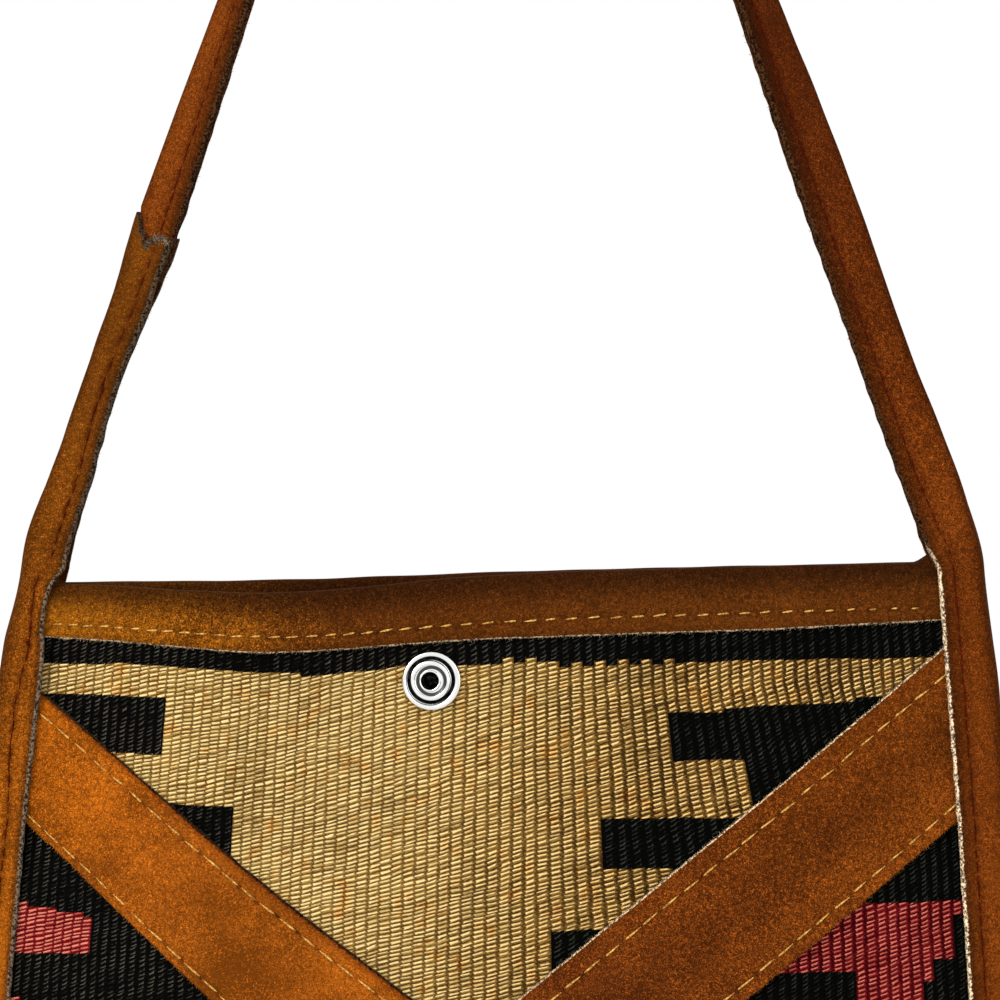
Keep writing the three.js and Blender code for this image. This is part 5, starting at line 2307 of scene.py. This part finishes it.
@dataclass
class Snap:
    """The press stud at the mouth: ring and stud on the front wall, socket and cap on the back."""

    pouch: PouchShape
    flange: float = 7.5 * MM
    flange_height: float = 1.0 * MM
    bore: float = 2.25 * MM
    barrel_wall: float = 0.35 * MM
    barrel_roll: float = 0.2 * MM
    stud_base: float = 0.8 * MM
    stud_radius: float = 6.0 * MM
    stud_head: float = 2.9 * MM
    stud_wall: float = 0.35 * MM
    stud_bulge: float = 0.35 * MM
    socket_height: float = 3.4 * MM
    socket_radius: float = 6.2 * MM
    socket_floor: float = 0.6 * MM
    post: float = 1.9 * MM
    cap_rise: float = 1.5 * MM
    clearance: float = 0.3 * MM
    off_centre: float = 0.4 * MM
    dark_depth: float = 0.2 * MM
    dark_share: float = 0.6

    def build(self) -> None:
        """Turn the four pieces and plate them."""
        shape = self.pouch
        full = shape.cloth + shape.rib_height
        axis = (shape.snap_x, shape.snap_height)
        outside = shape.snap_gap + full + self.clearance
        inside = shape.snap_gap - self.clearance
        flange = self.flange
        # Painted shade and dark reflections in the rim groove, the dish and the hole of the ring's face.
        face = PlateFinish("nickel_face", axis, (
            Groove(0.745 * flange, 0.08 * flange, 1.0, -0.01 * flange, 0.025 * flange),
            Groove(0.46 * flange, 0.07 * flange, 0.93),
            Groove(0.0, 0.3 * flange, 1.0, -self.off_centre))).material()
        plate = PlateFinish("nickel_plate").material()
        # Painted shade: the parts of the ring under its face, the middles of stud and socket, and the cap's
        # post.
        ring = {"dark_under": self.dark_depth, "off_centre": self.off_centre}
        hidden = {"dark_within": self.dark_share * flange}
        cap = {"dark_under": -self.dark_depth}
        for name, node, profile, facing, seat, finish, dark in (
                ("snap_ring", "snap_eyelet", self._ring(full), Side.FRONT, -outside, face, ring),
                ("snap_stud_ring", "snap_stud", self._stud(), Side.BACK, -inside, plate, hidden),
                ("snap_socket_ring", "snap_socket", self._socket(), Side.FRONT, inside, plate, hidden),
                ("snap_back_cap", "snap_cap", self._cap(full), Side.BACK, outside, plate, cap)):
            piece = TurnedPiece(name, node, profile, facing, seat, axis, **dark)
            piece.dress(piece.build(), finish)

    def _ring(self, full: float) -> list[Pair]:
        """Profile of the ring: rolled rim, groove, ridge, dish and barrel.

        Args:
            full: Thickness of the kilim with its ribs.

        Returns:
            Radii and heights.
        """
        outer = self.bore + self.barrel_wall
        through = full + 2.0 * self.clearance + self.stud_base
        flange, high = self.flange, self.flange_height
        return [
            (self.bore, -through), (outer, -through), (outer, 0.0), (0.92 * flange, 0.0),
            (flange, 0.45 * high), (0.96 * flange, 0.9 * high), (0.9 * flange, high),
            (0.83 * flange, 0.85 * high), (0.8 * flange, 0.4 * high), (0.7 * flange, 0.35 * high),
            (0.67 * flange, 0.75 * high), (0.6 * flange, 0.95 * high), (0.54 * flange, 0.85 * high),
            (0.51 * flange, 0.5 * high), (outer + self.barrel_roll, 0.35 * high), (outer, 0.6 * high),
            (self.bore, 0.5 * high),
        ]

    def _stud(self) -> list[Pair]:
        """Profile of the stud: base, neck and sprung head.

        Returns:
            Radii and heights.
        """
        bore = self.bore + self.barrel_wall + self.clearance
        neck = bore + self.stud_wall
        head = self.stud_base + self.stud_head
        mouth = self.bore - self.stud_wall
        return [
            (bore, 0.0), (self.stud_radius, 0.0), (self.stud_radius, self.stud_base), (neck, self.stud_base),
            (neck, self.stud_base + 0.35 * self.stud_head),
            (neck + self.stud_bulge, self.stud_base + 0.65 * self.stud_head),
            (neck - self.stud_wall, head), (mouth, head), (mouth, head - self.stud_wall),
            (bore, head - self.stud_wall),
        ]

    def _socket(self) -> list[Pair]:
        """Profile of the socket: a cup with a hole in its floor.

        Returns:
            Radii and heights.
        """
        cavity = self.bore + self.barrel_wall + self.stud_wall + self.stud_bulge + 2.0 * self.clearance
        hole = self.post + self.clearance
        return [
            (hole, 0.0), (self.socket_radius, 0.0), (self.socket_radius, 0.7 * self.socket_height),
            (cavity + self.stud_wall, self.socket_height), (cavity, self.socket_height),
            (cavity, self.socket_floor), (hole, self.socket_floor),
        ]

    def _cap(self, full: float) -> list[Pair]:
        """Profile of the cap: a post and a domed head.

        Args:
            full: Thickness of the kilim with its ribs.

        Returns:
            Radii and heights.
        """
        post = full + 2.0 * self.clearance + self.socket_floor
        flange = self.flange
        return [
            (0.0, -post), (self.post, -post), (self.post, 0.0), (0.95 * flange, 0.0),
            (flange, 0.3 * self.cap_rise), (0.9 * flange, 0.65 * self.cap_rise),
            (0.5 * flange, 0.95 * self.cap_rise), (0.2 * flange, self.cap_rise), (0.0, self.cap_rise),
        ]


@dataclass(frozen=True)
class ChevronLook:
    """What is special to one leg of the V: its sizes, its suede, and how that is brushed and cut."""

    word: str
    drops: Pair
    upper_insets: Pair
    lower_insets: Pair
    finish: SuedeFinish
    brushed: float
    edge_shade: float
    lower_rim: float
    flat: Pair


@dataclass
class SuedeTrim:
    """All suede of the bag, its sewing and the fibres of its cut edges."""

    pouch: PouchShape
    line_columns: int = 3
    pale_until: float = 236.0 * MM
    knots: tuple[Pair, ...] = (mm(-114.4, -311.3), mm(-116.0, -324.2))
    knot_length: float = 1.5 * MM
    knot_girth: float = 2.8
    brushed_middle: float = 0.5
    brushed_reach: float = 0.22
    far_edge: float = 1.3
    edge_reach: float = 0.08
    mouth_shades: Pair = (0.85, 0.25)
    mouth_falls: Numbers = mm(0.0, 9.5, 11.5, 13.8)
    strap_shades: Pair = (0.75, 0.6)
    strap_shares: Numbers = (0.0, 0.28, 0.62, 1.0)
    pale_tuft: int = 32
    grey_tuft: int = 90
    torn_tuft: int = 150
    torn_rings: int = 9
    torn_places: Numbers = (0.0, 0.3, 0.54, 0.85, 1.0)
    torn_jag: float = 0.35 * MM
    torn_seed: int = 61
    fray_up: Pair = (-0.2, 1.0)
    fray_forward: Pair = (0.1, 0.6)
    fray_stray: float = 0.7
    fray_depth: float = 1.2 * MM
    fray_stretch: float = 1.5
    fray_seed: int = 62
    mouth_flat: Pair = mm(30.8, 232.3)
    main_flat: Pair = mm(29.2, 870.0)
    lower_flat: Pair = mm(26.6, 330.0)
    chevrons: dict[End, ChevronLook] = field(default_factory=lambda: {
        End.LEFT: ChevronLook(
            "left", mm(26.7, 60.7), mm(5.5, 5.5), mm(2.2, 5.0), SuedeFinish(
                "left_chevron_suede", (156, 81, 12), (142, 73, 14), mm(-124.0, -340.0), mm(-80.0, -374.0),
                # The left leg's dark rim is partly its dark cut edge, partly painted shadow along its upper
                # edge.
                rim=(44, 26, 12), shaded=(92, 34, 5), rim_edge=0.2, grain=2.8, patches=1.3),
            brushed=0.1, edge_shade=0.75, lower_rim=0.0, flat=mm(34.0, 178.0)),
        End.RIGHT: ChevronLook(
            "right", mm(20.2, 63.7), mm(6.7, 6.7), mm(4.3, 4.3), SuedeFinish(
                "right_chevron_suede", (118, 58, 12), (99, 46, 12), mm(124.0, -340.0), mm(10.0, -450.0),
                rim=(188, 162, 126), shaded=(62, 26, 6), grain=4.0, patches=0.9),
            brushed=0.42, edge_shade=0.3, lower_rim=0.3, flat=mm(38.0, 196.0)),
    })

    def __post_init__(self) -> None:
        """Prepare the route of the strap, the threads and the loose fibres."""
        self.strips = FoldedStrips(self.pouch)
        self.yellow = ThreadFinish("yellow_thread", (138, 84, 20), (232, 182, 88), 0.7, 0.3).material()
        self.russet = ThreadFinish("russet_thread", (46, 8, 2), (98, 22, 5), gloss=0.02).material()
        pale = ThreadFinish("pale_fibre", (120, 98, 72), (206, 184, 150))
        dark = ThreadFinish("dark_fibre", (30, 23, 17), (104, 88, 70))
        grey = ThreadFinish("grey_fibre", (46, 36, 25), (158, 146, 126))
        golden = ThreadFinish("golden_fibre", (92, 46, 8), (196, 128, 48))
        self.pale = Fuzz("pale_edge_fuzz", pale, mm(0.3, 0.9), 0.11 * MM, 21)
        self.dark = Fuzz("dark_edge_fuzz", dark, mm(0.25, 0.8), 0.12 * MM, 22)
        self.grey = Fuzz("splice_fibres", grey, mm(0.5, 1.3), 0.17 * MM, 23)
        self.torn = Fuzz("torn_fibres", dark, mm(0.5, 1.3), 0.18 * MM, 25)
        self.golden = Fuzz("golden_edge_fuzz", golden, mm(0.3, 0.9), 0.1 * MM, 24)

    def build(self) -> None:
        """Make the strips, sew them and let their cut edges fray."""
        for side in Side:
            self._mouth(side)
        for end in End:
            self._chevron(end)
        self._main_strap()
        self._lower_left_strap()
        for fuzz in (self.pale, self.dark, self.grey, self.torn, self.golden):
            fuzz.build()

    def _mouth(self, side: Side) -> None:
        """Make a mouth binding, folded over the top edge of one wall.

        Args:
            side: The wall.
        """
        word = "front" if side is Side.FRONT else "back"
        binding = MouthBinding(self.pouch, side)
        rings, cut, fall, line = binding.loft()
        finish = SuedeFinish(
            f"{word}_mouth_suede", (146, 84, 14), (91, 46, 10), mm(-106.0, 0.0), mm(-40.0, 0.0),
            rim=(150, 128, 100), shaded=(44, 20, 5))
        # Painted shade, darker over the roll at the top and a little along the foot.
        shade = shade_ends(fall, self.mouth_shades, self.mouth_falls)
        strip = SuedeStrip(f"{word}_mouth_suede", f"{word}_mouth_binding", "mouth_suede", finish, Held.FOLDED,
                           rings, binding.outside, cut, shade, seed=11 + side)
        strip.build()
        seam = Seam(f"{word}_mouth_stitching", mm(3.8, 4.6, 5.4, 5.4, 5.3), mm(2.7, 3.2, 3.7, 3.3, 1.5),
                    0.48 * MM, start=6.0 * MM, stop=6.0 * MM, lean=-0.09 * side, seed=31)
        strip.sew(seam, [line], self.yellow)
        self.pale.along(line, 2.4, *mm(5.0, 5.0))
        strip.dress(self.mouth_flat)

    def _chevron(self, end: End) -> None:
        """Make one leg of the V.

        Args:
            end: End of the bag that it comes from.
        """
        look = self.chevrons[end]
        leg = ChevronLeg(self.pouch, end, *look.drops, look.upper_insets, look.lower_insets,
                         lower_rim=look.lower_rim)
        rings, cut, across, lines = leg.loft()
        # Painted shadow along the upper edge; the brushed middle is the suede's own darker tone.
        middle = bell(across - self.brushed_middle, self.brushed_reach)
        near_edge = 1.0 - smoothstep(np.minimum(across, self.far_edge - across), 0.0, self.edge_reach)
        shade = look.brushed * middle + look.edge_shade * near_edge
        name = f"{look.word}_chevron"
        strip = SuedeStrip(f"{name}_suede", f"{name}_strip", f"{name}_suede", look.finish, Held.LAID, rings,
                           leg.face_steps, cut, shade, seed=14 + end)
        strip.build()
        # On the left leg, dark fibres along the upper edge stand partly for painted shadow there.
        fuzzes = (self.dark if end is End.LEFT else self.pale, self.golden)
        for index, (row, line, fuzz) in enumerate(zip(("upper", "lower"), lines, fuzzes)):
            seam = Seam(f"{name}_{row}_stitching", mm(6.3), mm(5.5), 0.52 * MM, start=8.0 * MM, stop=4.0 * MM,
                        seed=41 + 2 * end + index)
            strip.sew(seam, [line], self.yellow)
            fuzz.along(line, 5.0, 6.0 * MM)
        strip.dress(look.flat)

    def _lines(self, rings: Array, profile: FoldProfile) -> tuple[Array, list[SewnLine]]:
        """Part the rings of a folded strip from the columns of its two sewn lines.

        Args:
            rings: Places by ring and point, with the columns of the lines last.
            profile: Points of a section.

        Returns:
            The rings alone, and the lines of the front and back layers.
        """
        lines = []
        for first in (profile.count, profile.count + self.line_columns):
            edge, seam, above = (rings[:, first + i] for i in range(self.line_columns))
            lines.append(SewnLine(edge, seam, above - seam))
        return rings[:, :profile.count], lines

    def _folded(self, name: str, finish: SuedeFinish, profile: FoldProfile, rings: Array, cut: Array,
                seed: int) -> SuedeStrip:
        """Build a folded strip, with painted shade at its cut edges and its fold."""
        shade = shade_ends(profile.across(), self.strap_shades, self.strap_shares)
        strip = SuedeStrip(f"{name}_suede", f"{name}_strip", finish.name, finish, Held.FOLDED, rings,
                           profile.outside, cut, shade, profile.keys(), seed=seed)
        strip.build()
        return strip

    def _main_strap(self) -> None:
        """Make the long strip: right side binding, strap, and the end that is tucked into the splice."""
        profile = FoldProfile(self.strips.thickness, 1.0 * MM, 4.2 * MM)
        rings, lines = self._lines(self.strips.main_rings(profile), profile)
        finish = SuedeFinish(
            "strap_suede", (112, 53, 11), (88, 37, 8), mm(122.0, -326.0), mm(174.0, -262.0),
            rim=(196, 172, 140), far_rim=(54, 32, 16), shaded=(40, 17, 4), hole=(48, 13, 4))
        strip = self._folded("main_strap", finish, profile, rings, profile.cut(), 17)
        seam = Seam("strap_stitching", mm(3.6), mm(3.5), 0.3 * MM, start=6.0 * MM, stop=13.0 * MM, taper=0.0,
                    pull=0.36 * MM, pull_reach=1.4 * MM, crease_shade=0.45, seed=51)
        strip.sew(seam, lines, self.russet)
        for line in lines:
            self.pale.along(line, 4.5, stop=line.length - self.pale_until)
            self.dark.along(line, 0.9, start=self.pale_until, stop=18.0 * MM)
        strip.dress(self.main_flat)

    def _lower_left_strap(self) -> None:
        """Make the left side binding with the lower part of the left strap."""
        profile = FoldProfile(self.strips.thickness, 0.7 * MM, 4.2 * MM, frayed=(0.95, 0.3))
        rings, lines = self._lines(self.strips.lower_rings(profile, self._tear(profile)), profile)
        finish = SuedeFinish(
            "left_strap_suede", (164, 87, 16), (106, 56, 9), mm(-122.0, -410.0), mm(-100.0, -280.0),
            rim=(92, 76, 60), far_rim=(64, 50, 36), shaded=(46, 22, 5), hole=(52, 14, 4), grain=2.2)
        cut = np.tile(profile.cut(), (len(rings), 1))
        cut[-1] = 1.0
        strip = self._folded("lower_left_strap", finish, profile, rings, cut, 19)
        seam = Seam("left_strap_stitching", mm(3.6), mm(3.7), 0.32 * MM, start=6.0 * MM, stop=4.0 * MM,
                    taper=0.0, pull=0.36 * MM, pull_reach=0.8 * MM, crease_shade=0.7, seed=52)
        down, outward = Vector((0.3, 0.0, -1.0)).normalized(), Vector((0.0, -1.0, 0.0))
        knots = [StitchPlace(strip.front_point(*spot), down, outward, self.knot_length, self.knot_girth)
                 for spot in self.knots]
        strip.sew(seam, lines, self.russet, knots)
        for line in lines:
            self.dark.along(line, 1.6, stop=4.0 * MM)
        up = Vector(rings[-1, 0] - rings[-self.torn_rings, 0]).normalized()
        self._fray(rings[-1, :profile.face_steps], up)
        strip.dress(self.lower_flat)

    def _fray(self, edge: Array, up: Vector) -> None:
        """Let fibres stand out of the torn end of the lower strip, palest at its cut edge.

        Args:
            edge: Places along the torn edge of the front layer, from its cut edge to its fold.
            up: The way up the strap.
        """
        rng = np.random.default_rng(self.fray_seed)
        across = Vector(edge[-1] - edge[0]).normalized()
        forward = Vector((0.0, float(Side.FRONT), 0.0))
        tufts = ((self.pale, self.pale_tuft, (0.0, 1.2), 0.0), (self.grey, self.grey_tuft, (1.0, 7.0), 0.0),
                 (self.torn, self.torn_tuft, (5.5, len(edge) - 1.1), -0.9))
        for fuzz, count, span, lean in tufts:
            for _ in range(count):
                at = rng.uniform(*span)
                root = Vector(mix(edge[int(at)], edge[int(at) + 1], at % 1.0))
                way = up * rng.uniform(*self.fray_up) + forward * rng.uniform(*self.fray_forward)
                way += across * rng.normal(lean, self.fray_stray)
                root -= up * rng.uniform(0.0, self.fray_depth)
                fuzz.spike(root, way.normalized(), self.fray_stretch)

    def _tear(self, profile: FoldProfile) -> Array:
        """Torn end of the lower strip: a notch in its front layer and a tip left at its fold.

        Args:
            profile: Points of a section.

        Returns:
            Length by which each point of a ring is moved along the strap.
        """
        tip, notch = self.strips.torn_tip, self.strips.torn_notch
        across = profile.across()
        jag = np.random.default_rng(self.torn_seed).normal(0.0, self.torn_jag, profile.count)
        lengths = (*mm(-1.4, -1.0), -notch, 0.45 * tip, tip)
        front = np.interp(across, self.torn_places, lengths)
        back = np.interp(across, (0.0, 0.8, 1.0), (0.0, 0.0, tip))
        tear = np.where(profile.layer() > 0, front, back) + jag
        return np.concatenate((tear, np.zeros(2 * self.line_columns)))


@dataclass(frozen=True)
class Studio:
    """Plain white studio: camera straight in front, soft light from the upper left, pale floor."""

    pixels: float = 1000.0
    pixel: float = 0.252 * MM
    aim: Numbers = mm(2.77, -5.0, -288.1)
    distance: float = 1.2
    sensor: float = 36.0
    lit_point: Numbers = (0.0, 0.0, -0.36)
    floor_height: float = -0.57
    floor_half: float = 4.0
    floor_glow: float = 0.75
    ambient: float = 0.45
    white: Numbers = (1.0, 1.0, 1.0, 1.0)
    pale: Numbers = (0.9, 0.9, 0.9, 1.0)

    def build(self) -> None:
        """Set up the camera, the light and the floor."""
        bpy.context.scene.view_settings.view_transform = "Standard"
        self._camera()
        self._world()
        self._lamp("key_light", (-0.75, -1.05, 0.35), 0.8, 17.0)
        self._lamp("fill_light", (0.95, -0.9, 0.02), 0.9, 4.0)
        self._lamp("rear_light", (0.4, 1.2, 0.3), 1.0, 9.0)
        self._floor()

    def _camera(self) -> None:
        """Add the camera, level and square to the front."""
        x, y, z = self.aim
        camera = added(bpy.ops.object.camera_add, location=(x, y - self.distance, z),
                       rotation=(math.pi / 2.0, 0.0, 0.0))
        camera.name = "photo_camera"
        camera.data.sensor_width = self.sensor
        camera.data.lens = self.sensor * self.distance / (self.pixels * self.pixel)
        bpy.context.scene.camera = camera

    def _lamp(self, name: str, place: Numbers, size: float, power: float) -> None:
        """Add a soft lamp that looks at the pouch."""
        turn = (Vector(self.lit_point) - Vector(place)).to_track_quat("-Z", "Y").to_euler()
        lamp = added(bpy.ops.object.light_add, type="AREA", location=place, rotation=turn)
        lamp.name = name
        lamp.data.size = size
        lamp.data.energy = power

    @staticmethod
    def _show_plain(graph: NodeGraph, output: Node, lit: Node, plain: Node, share: float) -> None:
        """Show a share of a plain shader over a lit one to rays from the camera, mirrored or let through.

        Args:
            graph: Graph of the shader.
            output: Its output node.
            lit: Shader that gives light.
            plain: Shader that is seen.
            share: Share of the plain one.
        """
        path = graph.add("LightPath").outputs
        seen = graph.math("MAXIMUM", path["Is Camera Ray"], path["Is Glossy Ray"])
        seen = graph.math("MAXIMUM", seen, path["Is Transmission Ray"]) * share
        both = graph.add("MixShader")
        for socket, value in zip(both.inputs, (seen, lit.outputs[0], plain.outputs[0])):
            graph.wire(socket, value)
        graph.wire(output.inputs["Surface"], both.outputs[0])

    def _world(self) -> None:
        """Give a white background and a weaker even light."""
        world = bpy.data.worlds.new("studio")
        world.use_nodes = True
        world.node_tree.nodes.clear()
        graph = NodeGraph(world.node_tree)
        light = graph.add("Background", {"Color": self.white, "Strength": self.ambient})
        plain = graph.add("Background", {"Color": self.white})
        self._show_plain(graph, graph.add("OutputWorld"), light, plain, 1.0)
        bpy.context.scene.world = world

    def _floor(self) -> None:
        """Lay a pale floor under the bag that keeps its shadow."""
        floor = added(bpy.ops.mesh.primitive_plane_add, size=2.0 * self.floor_half,
                      location=(0.0, 0.0, self.floor_height))
        floor.name = "studio_floor"
        material, graph, shader = new_material("studio_floor", {"Base Color": self.pale, "Roughness": 1.0})
        output = shader.outputs["BSDF"].links[0].to_node
        self._show_plain(graph, output, shader, graph.add("Emission", {"Color": self.white}), self.floor_glow)
        floor.data.materials.append(material)


def main() -> None:
    """Build the studio and the bag, piece by piece."""
    logging.basicConfig(level=logging.INFO, format="%(message)s")
    Studio().build()
    pouch = PouchShape()
    kilim = Kilim(pouch)
    kilim.dress(kilim.build())
    SuedeTrim(pouch).build()
    Snap(pouch).build()


if __name__ == "__main__":
    main()
